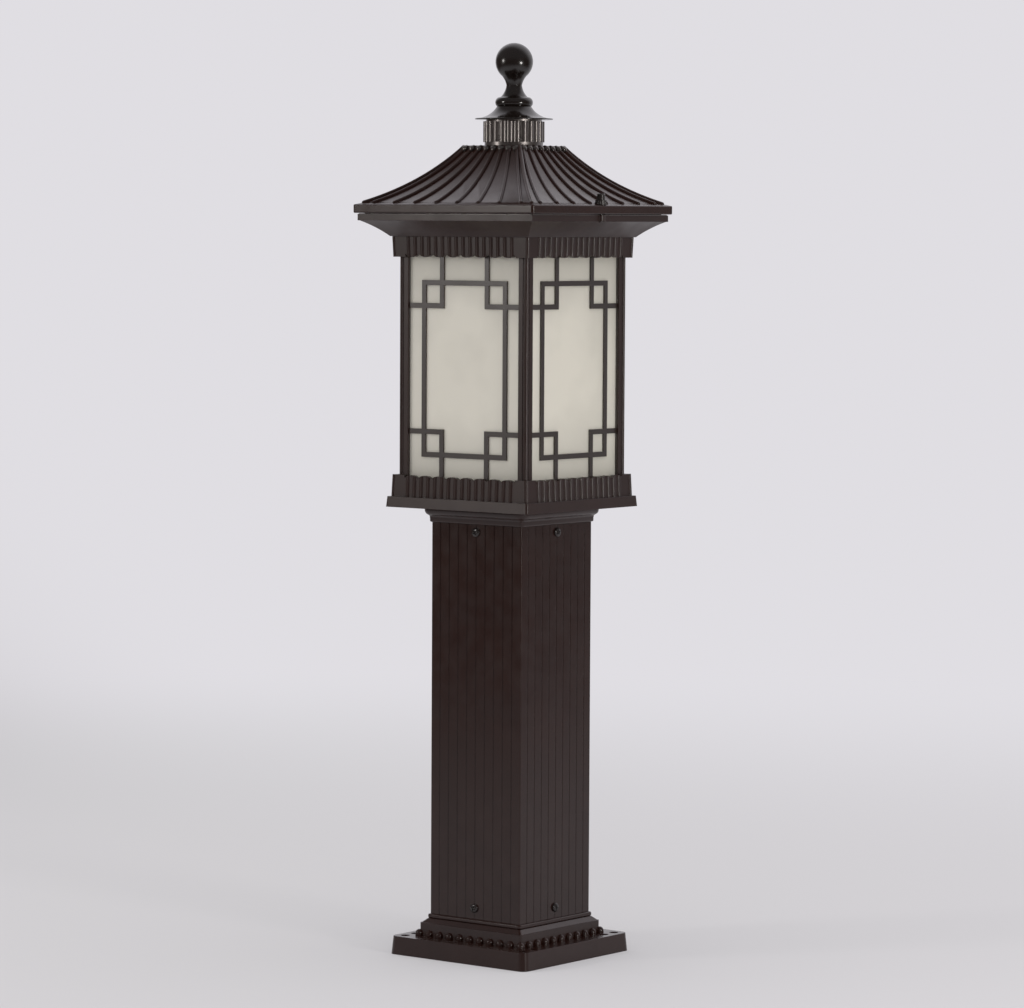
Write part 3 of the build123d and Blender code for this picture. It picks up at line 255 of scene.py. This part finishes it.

# Painted light: near the lantern the floor's own colour is darker to the left and paler to the right.
sideways = dot_product(tree, place, rightward)
light_slant = eased_range(tree, sideways, -slant_reach, slant_reach)
near_colour = two_tone(tree, light_slant, paper_left_shaded, paper_right_lit)
far_colour = two_tone(tree, sweep_share(tree, outward.outputs["Vector"]), room_colour, sweep_colour)
fade = eased_range(tree, distance, fade_start, fade_end)
own = add_node(tree, "ShaderNodeEmission")
link(tree, two_tone(tree, fade, near_colour, far_colour), own.inputs["Color"])
lit = add_node(tree, "ShaderNodeBsdfDiffuse", Color=paper_lit)
share = add_node(tree, "ShaderNodeMath", operation="MULTIPLY")
link(tree, seen_rays(tree), share.inputs[0])
link(tree, eased_range(tree, distance, glow_start, glow_end, low=glow_near), share.inputs[1])
mixed = add_node(tree, "ShaderNodeMixShader")
link(tree, share.outputs[0], mixed.inputs["Fac"])
link(tree, lit.outputs[0], mixed.inputs[1])
link(tree, own.outputs[0], mixed.inputs[2])
output = add_node(tree, "ShaderNodeOutputMaterial")
link(tree, mixed.outputs[0], output.inputs["Surface"])
floor_mesh.materials.append(floor_paint)
print("paper from", paper_left_shaded, "on the left to", paper_right_lit, "on the right")

# %% [markdown]
# Each lamp is a square soft box. Its bearing is read off the ball: a spot at a share s of
# the ball's radius mirrors a lamp at twice the angle whose sine is s. A third, faint lamp
# below the left one lights the lower castings of the left side.

# %% Lamps
lamp_colour = (1.0, 0.97, 0.94)


def soft_box(name, bearing, distance, height, side, power, aim_height):
    """A square lamp, at a bearing in degrees to the camera's right as seen from the lantern."""
    turn = math.radians(bearing)
    place = distance * (math.sin(turn) * rightward - math.cos(turn) * ahead)
    place[2] = height
    data = bpy.data.lights.new(name, "AREA")
    data.shape = "SQUARE"
    data.size = side
    data.energy = power
    data.color = lamp_colour
    lamp = bpy.data.objects.new(name, data)
    bpy.context.scene.collection.objects.link(lamp)
    lamp.location = place
    away = place - np.array([0, 0, aim_height])
    lamp.rotation_euler = (
        math.atan2(math.hypot(away[0], away[1]), away[2]),
        0,
        math.atan2(away[1], away[0]) + math.pi / 2,
    )
    print(name, "at", [round(v, 2) for v in lamp.location])


soft_box(
    "lamp_left", bearing=-71.0, distance=2.6, height=1.18, side=0.36, power=10.5, aim_height=0.9
)
soft_box(
    "lamp_left_skirt", bearing=-74.0, distance=2.6, height=0.67, side=0.42, power=0.75, aim_height=0.8
)
soft_box(
    "lamp_right", bearing=43.0, distance=2.6, height=0.62, side=0.40, power=17, aim_height=0.7
)

# %% [markdown]
# ## The bronze coat
# The castings and the post are aluminium under a dark bronze powder coat. The coat is a
# dark brown body under a clear, slightly dimpled skin. The dimples, about 1.5 mm across,
# break the edges of reflections, and broad faint patches change the roughness a little.
# Cast edges are rounded by about half a millimetre, which the Bevel node shows in the
# shading, so every long edge draws its thin line of light.

# %% Patches, ramps and dimples
edge_samples = 4


def new_material(name):
    """A material with its node tree, its Principled shader and its output joined up."""
    material = bpy.data.materials.new(name)
    material.use_nodes = True
    tree = material.node_tree
    tree.nodes.clear()
    shader = add_node(tree, "ShaderNodeBsdfPrincipled")
    output = add_node(tree, "ShaderNodeOutputMaterial")
    link(tree, shader.outputs[0], output.inputs["Surface"])
    return material, tree, shader


def noise(tree, scale, detail=2.0, roughness=0.5):
    """A noise pattern on the piece's own place, with scale in lumps per metre."""
    pattern = set_inputs(
        add_node(tree, "ShaderNodeTexNoise"),
        {"Scale": scale, "Detail": detail, "Roughness": roughness},
    )
    place = add_node(tree, "ShaderNodeTexCoord").outputs["Object"]
    link(tree, place, pattern.inputs["Vector"])
    return pattern.outputs["Fac"]


def ramp(tree, value, low, high, start=0.35, end=0.65):
    """A value between start and end, spread evenly from low to high."""
    spread = add_node(tree, "ShaderNodeMapRange")
    set_inputs(spread, {"From Min": start, "From Max": end, "To Min": low, "To Max": high})
    link(tree, value, spread.inputs["Value"])
    return spread.outputs["Result"]


def dimples(tree, height, depth, edge_radius=0.0):
    """A bump of the given depth in metres, over edges softened by edge_radius."""
    bump = set_inputs(add_node(tree, "ShaderNodeBump"), {"Strength": 1.0, "Distance": depth})
    link(tree, height, bump.inputs["Height"])
    if edge_radius:
        edge = add_node(tree, "ShaderNodeBevel", samples=edge_samples)
        edge.inputs["Radius"].default_value = edge_radius
        link(tree, edge.outputs["Normal"], bump.inputs["Normal"])
    return bump.outputs["Normal"]


print("edges are softened with", edge_samples, "samples")

# %% [markdown]
# One function makes every coat, since they differ only in colour, roughness and gloss:
# the plain coat, the same a little more matt on the cast frames, a paler matt one on the
# bar lattice, a deep gloss on the turned finial, and small parts' own. The finial's reeds
# and the ribs' small heads are rubbed bright, so they are a dark metal.

# %% Bronze coats
coat_edge = 0.55 * MM
patch_lumps, mottle_lumps, skin_lumps = 22, 60, 650


def bronze(
    name, base, patch, roughness, dimple_depth, edge_radius=coat_edge, specular=0.48, metallic=0.0
):
    """A powder coat: a dark body, two tones of it in patches, and a dimpled skin."""
    material, tree, shader = new_material(name)
    patches = ramp(tree, noise(tree, patch_lumps, detail=4), 0, 1)
    link(tree, two_tone(tree, patches, base, patch), shader.inputs["Base Color"])
    mottle = noise(tree, mottle_lumps, detail=3)
    link(tree, ramp(tree, mottle, roughness - 0.03, roughness + 0.04), shader.inputs["Roughness"])
    skin = noise(tree, skin_lumps, detail=1.5)
    link(tree, dimples(tree, skin, dimple_depth, edge_radius), shader.inputs["Normal"])
    shader.inputs["Specular IOR Level"].default_value = specular
    shader.inputs["Metallic"].default_value = metallic
    print(name, "roughness", roughness)
    return material


bronze_coat = bronze(
    "bronze_coat",
    base=(0.0150, 0.0050, 0.0034),
    patch=(0.0182, 0.0064, 0.0044),
    roughness=0.23,
    dimple_depth=0.006 * MM,
    specular=0.43,
)
bronze_satin = bronze(
    "bronze_satin",
    base=(0.0160, 0.0056, 0.0038),
    patch=(0.0195, 0.0072, 0.0050),
    roughness=0.36,
    dimple_depth=0.006 * MM,
    specular=0.5,
)
bronze_frame = bronze(
    "bronze_frame",
    base=(0.0170, 0.0100, 0.0078),
    patch=(0.0200, 0.0120, 0.0094),
    roughness=0.36,
    dimple_depth=0.006 * MM,
    specular=0.9,
)
bronze_gloss = bronze(
    "bronze_gloss",
    base=(0.0060, 0.0038, 0.0030),
    patch=(0.0078, 0.0050, 0.0040),
    roughness=0.19,
    dimple_depth=0.001 * MM,
    specular=0.6,
)
bronze_hardware = bronze(
    "bronze_hardware",
    base=(0.0110, 0.0090, 0.0082),
    patch=(0.016, 0.012, 0.011),
    roughness=0.22,
    dimple_depth=0.004 * MM,
)
bronze_reed = bronze(
    "bronze_reed",
    base=(0.165, 0.152, 0.146),
    patch=(0.190, 0.175, 0.168),
    roughness=0.30,
    dimple_depth=0.0005 * MM,
    edge_radius=0.0,
    metallic=0.9,
)
bronze_glint = bronze(
    "bronze_glint",
    base=(0.130, 0.118, 0.112),
    patch=(0.150, 0.138, 0.130),
    roughness=0.13,
    dimple_depth=0.0005 * MM,
    edge_radius=0.0,
    metallic=0.9,
)

# %% [markdown]
# ## Glass
# The panes are frosted on one face and milky all through, so nothing behind them shows as
# a shape. Part of the light comes through from the other sides of the box, which a
# translucent shader gives by itself. Less of it reaches the edges, by the posts and under
# the valance. The colour has painted shade for this only toward the top and bottom edges,
# where the glass goes over to a deeper tone, and slow clouds vary it in the middle.

# %% Frosted glass
# Painted shade: the edge colour is the glass's colour, darkened where less light reaches.
pane_edge_shaded = (0.700, 0.680, 0.600)
pane_middle = (0.930, 0.905, 0.815)
side_fade, upright_fade = 0.35, 0.25
translucent_share = 0.42
cloud_lumps, frost_lumps, polish_lumps = 9, 1400, 35
cloud_full = 0.55
frost_depth = 0.03 * MM

frosted_glass, tree, shader = new_material("frosted_glass")
glass_low, glass_high = (np.array(corner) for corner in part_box("glass_front"))
glass_half = (glass_high[0] - glass_low[0]) / 2
glass_middle = (glass_high[2] + glass_low[2]) / 2
glass_rise = (glass_high[2] - glass_low[2]) / 2
parts = add_node(tree, "ShaderNodeSeparateXYZ")
link(tree, add_node(tree, "ShaderNodeTexCoord").outputs["Object"], parts.inputs[0])


def shine(tree, part, middle, half, edge):
    """1 near the middle of a pane and 0 at its edge: a smooth step of the distance."""
    offset = add_node(tree, "ShaderNodeMath", operation="SUBTRACT")
    link(tree, part, offset.inputs[0])
    offset.inputs[1].default_value = middle
    size = add_node(tree, "ShaderNodeMath", operation="ABSOLUTE")
    link(tree, offset.outputs[0], size.inputs[0])
    return eased_range(tree, size.outputs[0], edge * half, half, low=1.0, high=0.0)


sides = add_node(tree, "ShaderNodeMath", operation="MAXIMUM")
link(tree, shine(tree, parts.outputs["X"], 0.0, glass_half, side_fade), sides.inputs[0])
link(tree, shine(tree, parts.outputs["Y"], 0.0, glass_half, side_fade), sides.inputs[1])
# Painted shade: toward the top and bottom the colour goes over to the darker edge colour. The sides' share
# above is joined to nothing.
upright = shine(tree, parts.outputs["Z"], float(glass_middle), float(glass_rise), upright_fade)
cloud_and_shade = add_node(tree, "ShaderNodeMath", operation="MULTIPLY")
link(tree, upright, cloud_and_shade.inputs[0])
link(tree, noise(tree, cloud_lumps, detail=3), cloud_and_shade.inputs[1])
cloud_and_shade_share = ramp(tree, cloud_and_shade.outputs[0], 0, 1, 0.0, cloud_full)
cream_with_painted_shade = two_tone(tree, cloud_and_shade_share, pane_edge_shaded, pane_middle)
link(tree, cream_with_painted_shade, shader.inputs["Base Color"])
frost = noise(tree, frost_lumps, detail=2)
link(tree, dimples(tree, frost, frost_depth), shader.inputs["Normal"])
link(tree, ramp(tree, noise(tree, polish_lumps), 0.42, 0.52), shader.inputs["Roughness"])
through = add_node(tree, "ShaderNodeBsdfTranslucent")
link(tree, cream_with_painted_shade, through.inputs["Color"])
milky = add_node(tree, "ShaderNodeMixShader", Fac=translucent_share)
link(tree, shader.outputs[0], milky.inputs[1])
link(tree, through.outputs[0], milky.inputs[2])
link(tree, milky.outputs[0], tree.nodes["Material Output"].inputs["Surface"])
print("panes are", round(2 * glass_half, 4), "wide and", round(2 * glass_rise, 4), "high")

# %% [markdown]
# ## What is inside
# The fittings show when the roof is open. Each has the plain finish of the real thing:
# zinc plate with its spangle, brushed steel, bright nickel, brass, glazed ceramic, opal
# glass, moulded plastic and rubber.

# %% Fittings' finishes
def metal(name, colour, worn, roughness, grain, depth):
    """A bare or plated metal with a fine grain in colour, roughness and surface."""
    material, tree, shader = new_material(name)
    tone = ramp(tree, noise(tree, grain, detail=3), 0, 1)
    link(tree, two_tone(tree, tone, colour, worn), shader.inputs["Base Color"])
    shader.inputs["Metallic"].default_value = 1.0
    polish = ramp(tree, noise(tree, grain * 2), roughness - 0.06, roughness + 0.08)
    link(tree, polish, shader.inputs["Roughness"])
    surface = dimples(tree, noise(tree, grain * 6), depth, edge_radius=0.2 * MM)
    link(tree, surface, shader.inputs["Normal"])
    return material


def moulded(name, colour, second, roughness, grain, depth, specular=0.5):
    """A moulded or fired material: a body colour with slight patches and a fine skin."""
    material, tree, shader = new_material(name)
    tone = ramp(tree, noise(tree, grain / 8, detail=3), 0, 1)
    link(tree, two_tone(tree, tone, colour, second), shader.inputs["Base Color"])
    polish = ramp(tree, noise(tree, grain / 3), roughness - 0.04, roughness + 0.05)
    link(tree, polish, shader.inputs["Roughness"])
    surface = dimples(tree, noise(tree, grain), depth, edge_radius=0.25 * MM)
    link(tree, surface, shader.inputs["Normal"])
    shader.inputs["Specular IOR Level"].default_value = specular
    return material


def striped_lead(name, first, second, pitch):
    """Insulation with two colours in slanted bands of its place, so they wind round the lead."""
    material, tree, shader = new_material(name)
    bands = add_node(tree, "ShaderNodeTexWave", wave_type="BANDS", bands_direction="DIAGONAL")
    set_inputs(bands, {"Scale": 1 / pitch, "Distortion": 0.0})
    place = add_node(tree, "ShaderNodeTexCoord").outputs["Object"]
    link(tree, place, bands.inputs["Vector"])
    stripe = ramp(tree, bands.outputs["Fac"], 0, 1, 0.45, 0.55)
    link(tree, two_tone(tree, stripe, first, second), shader.inputs["Base Color"])
    link(tree, ramp(tree, noise(tree, 230), 0.32, 0.41), shader.inputs["Roughness"])
    link(tree, dimples(tree, noise(tree, 700), 0.006 * MM), shader.inputs["Normal"])
    return material


fine = 0.004 * MM
finish_of_slot = {
    "bronze_coat": bronze_coat,
    "bronze_hardware": bronze_hardware,
    "frosted_glass": frosted_glass,
    "steel_hardware": metal(
        "steel_hardware", (0.50, 0.50, 0.51), (0.40, 0.40, 0.41), 0.30, 260, fine
    ),
    "zinc_strip": metal(
        "zinc_strip", (0.56, 0.57, 0.58), (0.44, 0.45, 0.47), 0.38, 90, 0.006 * MM
    ),
    "nickel_shell": metal(
        "nickel_shell", (0.62, 0.60, 0.55), (0.54, 0.52, 0.47), 0.20, 200, 0.003 * MM
    ),
    "brass_contacts": metal(
        "brass_contacts", (0.72, 0.53, 0.24), (0.60, 0.42, 0.18), 0.27, 200, fine
    ),
    "white_ceramic": moulded(
        "white_ceramic", (0.78, 0.77, 0.73), (0.72, 0.71, 0.67), 0.16, 420, 0.010 * MM
    ),
    "opal_globe": moulded(
        "opal_globe", (0.84, 0.84, 0.81), (0.80, 0.80, 0.77), 0.20, 300, fine
    ),
    "terminal_plastic": moulded(
        "terminal_plastic", (0.63, 0.62, 0.57), (0.57, 0.56, 0.51), 0.36, 900, 0.012 * MM
    ),
    "rubber_black": moulded(
        "rubber_black", (0.022, 0.022, 0.023), (0.032, 0.032, 0.032), 0.62, 800, 0.020 * MM, 0.35
    ),
    "lead_brown": moulded(
        "lead_brown", (0.105, 0.045, 0.022), (0.125, 0.055, 0.028), 0.36, 700, 0.006 * MM
    ),
    "lead_blue": moulded(
        "lead_blue", (0.022, 0.095, 0.330), (0.028, 0.115, 0.380), 0.36, 700, 0.006 * MM
    ),
    "lead_green": striped_lead("lead_green", (0.045, 0.300, 0.060), (0.780, 0.640, 0.040), 0.03),
}
print("finishes for", len(finish_of_slot), "slots")

# %% [markdown]
# Each CAD piece has one material slot, whose name says what it is made of. The finish is
# set on the object and not on its mesh, so the frame stays as it was loaded. A few pieces
# of the bronze coat have their own polish.

# %% Finishes onto the pieces
own_finish = {"finial_ball": bronze_gloss, "finial_hat": bronze_gloss, "finial_drum": bronze_reed}
own_finish.update({name: bronze_frame for name in nodes if name.startswith("lattice_")})
own_finish.update({name: bronze_satin for name in nodes if name.startswith("corner_post_")})
own_finish.update(crown_casting=bronze_satin, tray_casting=bronze_satin)
for name, node in nodes.items():
    slot_name = node.material_slots[0].material.name.split(".")[0]
    node.material_slots[0].link = "OBJECT"
    node.material_slots[0].material = own_finish.get(name, finish_of_slot[slot_name])
print("painted", len(nodes), "nodes,", len(own_finish), "with a polish of their own")

# %% [markdown]
# ## Surfaces from numbers
# A round rib, a bead and a screw head are all grids of points: one direction round, one
# direction along. The points are worked out as whole arrays. The ends of a grid close in
# a point, so its doubled points are merged and its faces turned outward.

# %% Grid to mesh
merge_distance = 0.2e-6


def grid_faces(copies, rows, columns):
    """Quads between neighbours of many closed grids: row i to i + 1, column j to j + 1 round."""
    copy, row, column = np.meshgrid(
        np.arange(copies), np.arange(rows - 1), np.arange(columns), indexing="ij"
    )
    start = copy * rows * columns
    after = (column + 1) % columns
    corners = [
        start + row * columns + column,
        start + row * columns + after,
        start + (row + 1) * columns + after,
        start + (row + 1) * columns + column,
    ]
    return np.stack(corners, axis=-1).reshape(-1, 4)


def make_piece(name, points, body, material):
    """A piece from points of shape (copies, rows, columns, 3), round along the columns."""
    copies, rows, columns, _ = points.shape
    mesh = bpy.data.meshes.new(name)
    faces = grid_faces(copies, rows, columns)
    mesh.from_pydata(points.reshape(-1, 3).tolist(), [], faces.tolist())
    work = bmesh.new()
    work.from_mesh(mesh)
    bmesh.ops.remove_doubles(work, verts=work.verts, dist=merge_distance)
    bmesh.ops.recalc_face_normals(work, faces=work.faces)
    work.to_mesh(mesh)
    work.free()
    mesh.polygons.foreach_set("use_smooth", np.ones(len(mesh.polygons), bool))
    mesh.materials.append(material)
    piece = bpy.data.objects.new(name, mesh)
    bpy.context.scene.collection.objects.link(piece)
    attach(piece, body)
    print(name, len(mesh.polygons), "faces")
    return piece


def quarter_turns(points):
    """The given points and their three copies turned by quarter turns about Z."""
    x, y, z = points[..., 0], points[..., 1], points[..., 2]
    turned = [
        np.stack([x, y, z], axis=-1),
        np.stack([-y, x, z], axis=-1),
        np.stack([-x, -y, z], axis=-1),
        np.stack([y, -x, z], axis=-1),
    ]
    return np.concatenate(turned)


print("three rings of eight points make", len(grid_faces(1, 3, 8)), "faces")

# %% [markdown]
# ## Roof ribs
# Eight round ribs run down each face of the roof and one down each hip. They could be
# curves with a round bevel. Here each is a circle carried along the roof's own arc, and a
# half ball closes each end. The arc is found first, from the roof's eave, its flat top and
# its radius.

# %% Roof's arc
lip_side = 249.8 * MM
eave_margin = 9.5 * MM
roof_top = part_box("roof_shell")[1][2]
roof_rise = 62.24 * MM
top_half = 75.4 * MM / 2
roof_radius = 196.2 * MM
spring = np.array([lip_side / 2 - eave_margin, roof_top - roof_rise])
peak = np.array([top_half, roof_top])
chord = peak - spring
chord_length = np.linalg.norm(chord)
bow = math.sqrt(roof_radius**2 - (chord_length / 2) ** 2)
arc_centre = (spring + peak) / 2 + np.array([chord[1], -chord[0]]) / chord_length * bow


def roof_level(half_width):
    """Height of the roof's face: the centre's height less the root of R squared less the offset squared."""
    return arc_centre[1] - np.sqrt(roof_radius**2 - (arc_centre[0] - half_width) ** 2)


print("the arc's centre is", [round(v, 4) for v in arc_centre], "out and up")

# %% Roof ribs
ribs_per_face = 8
rib_radius = 2.3 * MM
rib_top_pitch = 10.0 * MM
rib_eave_pitch = 29.0 * MM
rib_end_gap = 1.3 * MM
rib_start = top_half + rib_end_gap
rib_end = spring[0] + rib_end_gap / 2


def round_ended(path, tangent, radius, around=14, cap_rows=5):
    """Tubes round paths of shape (copies, rows, 3): a circle at each point, a half ball at each end.

    In the end rows the size is the sine of an even turn and the step outward its cosine.
    """
    sideways = np.cross(tangent, np.array([0, 0, 1.0]))
    sideways /= np.linalg.norm(sideways, axis=-1, keepdims=True)
    rising = np.cross(sideways, tangent)
    turn = np.arange(cap_rows) * np.pi / 2 / cap_rows
    start = path[:, :1] - radius * np.cos(turn)[None, :, None] * tangent[:, :1]
    end = path[:, -1:] + radius * np.cos(turn[::-1])[None, :, None] * tangent[:, -1:]
    centre = np.concatenate([start, path, end], axis=1)
    full = np.ones(path.shape[1])
    size = np.concatenate([np.sin(turn), full, np.sin(turn[::-1])]) * radius

    def stretched(axis):
        """The axis of each row, with the first and the last repeated for the caps."""
        first, last = axis[:, :1].repeat(cap_rows, 1), axis[:, -1:].repeat(cap_rows, 1)
        return np.concatenate([first, axis, last], axis=1)

    angle = np.arange(around) * 2 * np.pi / around
    ring = stretched(sideways)[:, :, None] * np.cos(angle)[None, None, :, None]
    ring = ring + stretched(rising)[:, :, None] * np.sin(angle)[None, None, :, None]
    return centre[:, :, None] + ring * size[None, :, None, None]


def rib_paths(top_y, eave_y, rows=44):
    """Paths down the +X face: x runs evenly to the eave, y fans out with it, z is the roof's level."""
    along = np.linspace(0, 1, rows)[None, :]
    x = (rib_start + (rib_end - rib_start) * along).repeat(len(top_y), 0)
    y = top_y[:, None] + (eave_y - top_y)[:, None] * along
    path = np.stack([x, y, roof_level(x)], axis=-1)
    tangent = np.gradient(path, axis=1)
    return path, tangent / np.linalg.norm(tangent, axis=-1, keepdims=True)


rib_steps = np.arange(ribs_per_face) - (ribs_per_face - 1) / 2
rib_path, rib_tangent = rib_paths(
    np.append(rib_steps * rib_top_pitch, rib_start), np.append(rib_steps * rib_eave_pitch, rib_end)
)
rib_points = quarter_turns(round_ended(rib_path, rib_tangent, rib_radius))
make_piece("roof_ribs", rib_points, "roof", bronze_coat)

# %% [markdown]
# Each rib begins with a small round head just below the flat top. The heads on the front
# face catch the left lamp as a row of eight bright dots. A cap of a sphere is enough, on a
# short round stem that sinks into the rib.

# %% Rib heads
button_radius = 3.3 * MM
button_sphere = 4.3 * MM
button_proud = 2.6 * MM
button_start = 1.6 * MM
button_drop = 2.4 * MM
button_spread = 1.005
button_sides, button_rows = 20, 9


def button(places, outward, across):
    """Caps at places: a ring in the plane of across and the third direction, raised along outward.

    The rise is the root of the sphere's radius squared less the ring's radius squared.
    """
    angle = np.arange(button_sides) * 2 * np.pi / button_sides
    share = np.concatenate([[1.0, 1.0], np.cos(np.linspace(0, np.pi / 2, button_rows)[1:])])
    edge_height = math.sqrt(button_sphere**2 - button_radius**2)
    rise = np.sqrt(button_sphere**2 - (button_radius * share) ** 2) - edge_height + button_proud
    rise[0] = 0.0
    third = np.cross(outward, across)
    ring = np.cos(angle)[:, None] * across + np.sin(angle)[:, None] * third
    shape = button_radius * share[:, None, None] * ring[None] + rise[:, None, None] * outward
    return places[:, None, None, :] + shape[None]


def face_angle(half_width):
    """Slope of the roof's face: the angle whose sine is the offset from the arc's centre over R."""
    return math.asin((arc_centre[0] - half_width) / roof_radius)


button_x = top_half + button_start
slope = face_angle(button_x)
outward = np.array([math.sin(slope), 0, math.cos(slope)])
downhill = np.array([math.cos(slope), 0, -math.sin(slope)])
button_y = rib_steps * rib_top_pitch * button_spread
button_level = np.full(ribs_per_face, roof_level(button_x))
head_places = np.stack([np.full(ribs_per_face, button_x), button_y, button_level], axis=1)
head_places = head_places + downhill * button_drop
button_points = quarter_turns(button(head_places, outward, np.array([0, 1.0, 0])))
make_piece("rib_buttons", button_points, "roof", bronze_glint)

# %% [markdown]
# ## Square mouldings
# The neck has a small ogee below the tray, and the crown's band ends in a fine rounded
# edge under the roof's lip. Both could be swept along a square path. One closed profile
# carried round a square with rounded corners gives them as a grid, like the rest.

# %% Mouldings
def square_ring(profile, corner, around=8):
    """A closed profile of (half side, height) pairs, carried round a square.

    The sides are offset, and the corners are arcs about the same four centres.
    """
    half, level = profile[:, 0], profile[:, 1]
    turn = np.linspace(0, np.pi / 2, around)
    quarter = []
    for side in range(4):
        angle = turn + side * np.pi / 2
        middle = (side + 0.5) * np.pi / 2
        toward = np.array([np.cos(middle), np.sin(middle)]) * math.sqrt(2)
        radius = corner + half - half.min()
        centre = half.min() - corner
        x = toward[0] * centre + radius[:, None] * np.cos(angle)
        y = toward[1] * centre + radius[:, None] * np.sin(angle)
        quarter.append(np.stack([x, y, level[:, None] * np.ones(around)], axis=-1))
    return np.concatenate(quarter, axis=1)[None]


# %% Neck's ogee
neck_corner = 2.0 * MM
neck_profile = np.array(
    [  # half side and height: a foot fillet and a straight collar
        [62.6, 476.8],
        [64.3, 476.8],
        [65.0, 477.3],
        [65.3, 478.2],
        [65.3, 481.8],
        # the hollow of the ogee, then its swell
        [65.6, 483.0],
        [66.6, 484.1],
        [68.2, 484.9],
        [69.6, 485.9],
        [70.6, 487.4],
        [71.1, 489.2],
        [71.2, 491.0],
        # the top under the tray, and back down inside
        [71.2, 493.4],
        [62.6, 493.4],
        [62.6, 476.8],
    ]
) * MM
neck_points = square_ring(neck_profile, neck_corner)
make_piece("neck_moulding", neck_points, "lantern", bronze_coat)

# %% Band's edge
band_half = 241.8 * MM / 2
band_corner = 3.0 * MM
edge_level = 813.2 * MM
edge_radius = 0.5 * MM
edge_sink = 0.25 * MM
edge_turn = np.linspace(0, 2 * np.pi, 15)
edge_out = band_half - edge_sink + edge_radius * np.cos(edge_turn)
edge_profile = np.stack([edge_out, edge_level + edge_radius * np.sin(edge_turn)], axis=1)
edge_points = square_ring(edge_profile, band_corner)
make_piece("band_edge", edge_points, "lantern", bronze_reed)

# %% [markdown]
# ## Foot beads
# A row of small round buttons stands on the plate along each side of the foot. They could
# be spheres, but the real ones are cast with the plate and stand upright from it. Forty
# copies of one dome of a few rings are enough.

# %% Foot beads
block_side = 142 * MM
plate_top = 20 * MM
beads_per_side = 10
bead_radius = 4.35 * MM
bead_height = 7.0 * MM
bead_straight = 0.30
bead_sides, bead_rows = 16, 8


def bead(places):
    """Domes at places of shape (copies, 3): upright below, and on an ellipse above."""
    angle = np.arange(bead_sides) * 2 * np.pi / bead_sides
    turn = np.linspace(0, 1, bead_rows)[1:] * np.pi / 2
    lift = np.append([0.0, bead_straight], bead_straight + (1 - bead_straight) * np.sin(turn))
    width = np.append([1.0, 1.0], np.cos(turn))
    shape = np.stack(
        [
            bead_radius * width[:, None] * np.cos(angle),
            bead_radius * width[:, None] * np.sin(angle),
            np.repeat(bead_height * lift[:, None], len(angle), axis=1),
        ],
        axis=-1,
    )
    return places[:, None, None, :] + shape[None]


bead_pitch = block_side / beads_per_side
bead_y = np.arange(beads_per_side) * bead_pitch - block_side / 2
bead_places = np.stack(
    [np.full(beads_per_side, block_side / 2), bead_y, np.full(beads_per_side, plate_top)], axis=1
)
make_piece("foot_beads", quarter_turns(bead(bead_places)), "lantern", bronze_coat)

# %% [markdown]
# ## Screw heads on the post
# The eight small screws have domed heads with a cross recess. The recess could be cut out
# of a dome. A polar grid is simpler: it gives the dome, and the cross is pressed into it,
# because a point that lies near either arm drops.

# %% Screw heads
post_half = 125 * MM / 2
head_radius = 4.875 * MM
head_rise = 3.0 * MM
cross_depth = 1.5 * MM
arm_inner, arm_outer = 0.30 * MM, 0.62 * MM
cross_inner, cross_outer = 0.42, 0.66
foot_turn, neck_turn = 0.35, 1.1
head_sides, head_rows = 72, 26
rim_share, rim_height, dome_start = 0.985, 0.40, 0.45


def eased(value, start, end):
    """0 below start, 1 over end, and a smooth step between."""
    t = np.clip((value - start) / (end - start), 0, 1)
    return t * t * (3 - 2 * t)


def screw_head(levels, turns):
    """Heads on the +X side at the given levels: a dome, less a cross that fades out with the radius."""
    share = np.concatenate([[1.0, 1.0], np.linspace(rim_share, 0, head_rows)])
    angle = np.arange(head_sides) * 2 * np.pi / head_sides
    radius = head_radius * share[:, None] * np.ones(len(angle))
    dome = dome_start + (1 - dome_start) * np.sqrt(1 - share[2:] ** 2)
    rise = head_rise * np.append([0.0, rim_height], dome)
    local = angle[None, None, :] + turns[:, None, None]
    near_arm = np.minimum(np.abs(np.sin(local)), np.abs(np.cos(local))) * radius[None]
    inside = 1 - eased(radius / head_radius, cross_inner, cross_outer)
    cross = (1 - eased(near_arm, arm_inner, arm_outer)) * inside[None]
    height = rise[None, :, None] - cross_depth * cross
    side = radius[None] * np.cos(angle) * np.ones((len(levels), 1, 1))
    up = radius[None] * np.sin(angle) + levels[:, None, None]
    return np.stack([post_half + height, side, up], axis=-1)


foot_low, foot_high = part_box("post_screws_foot")
neck_low, neck_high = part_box("post_screws_neck")
foot_level = (foot_low[2] + foot_high[2]) / 2
neck_level = (neck_low[2] + neck_high[2]) / 2
for end_name, level, turn in (("foot", foot_level, foot_turn), ("neck", neck_level, neck_turn)):
    heads = quarter_turns(screw_head(np.array([level]), np.array([turn])))
    piece = make_piece(
        f"screw_heads_{end_name}", heads, "lantern", bronze_hardware
    )
    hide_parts(f"post_screws_{end_name}")

# %% [markdown]
# ## Colour view
# The render uses the plain Standard view transform.

# %% Colour view
bpy.context.scene.view_settings.view_transform = "Standard"
bpy.context.view_layer.update()
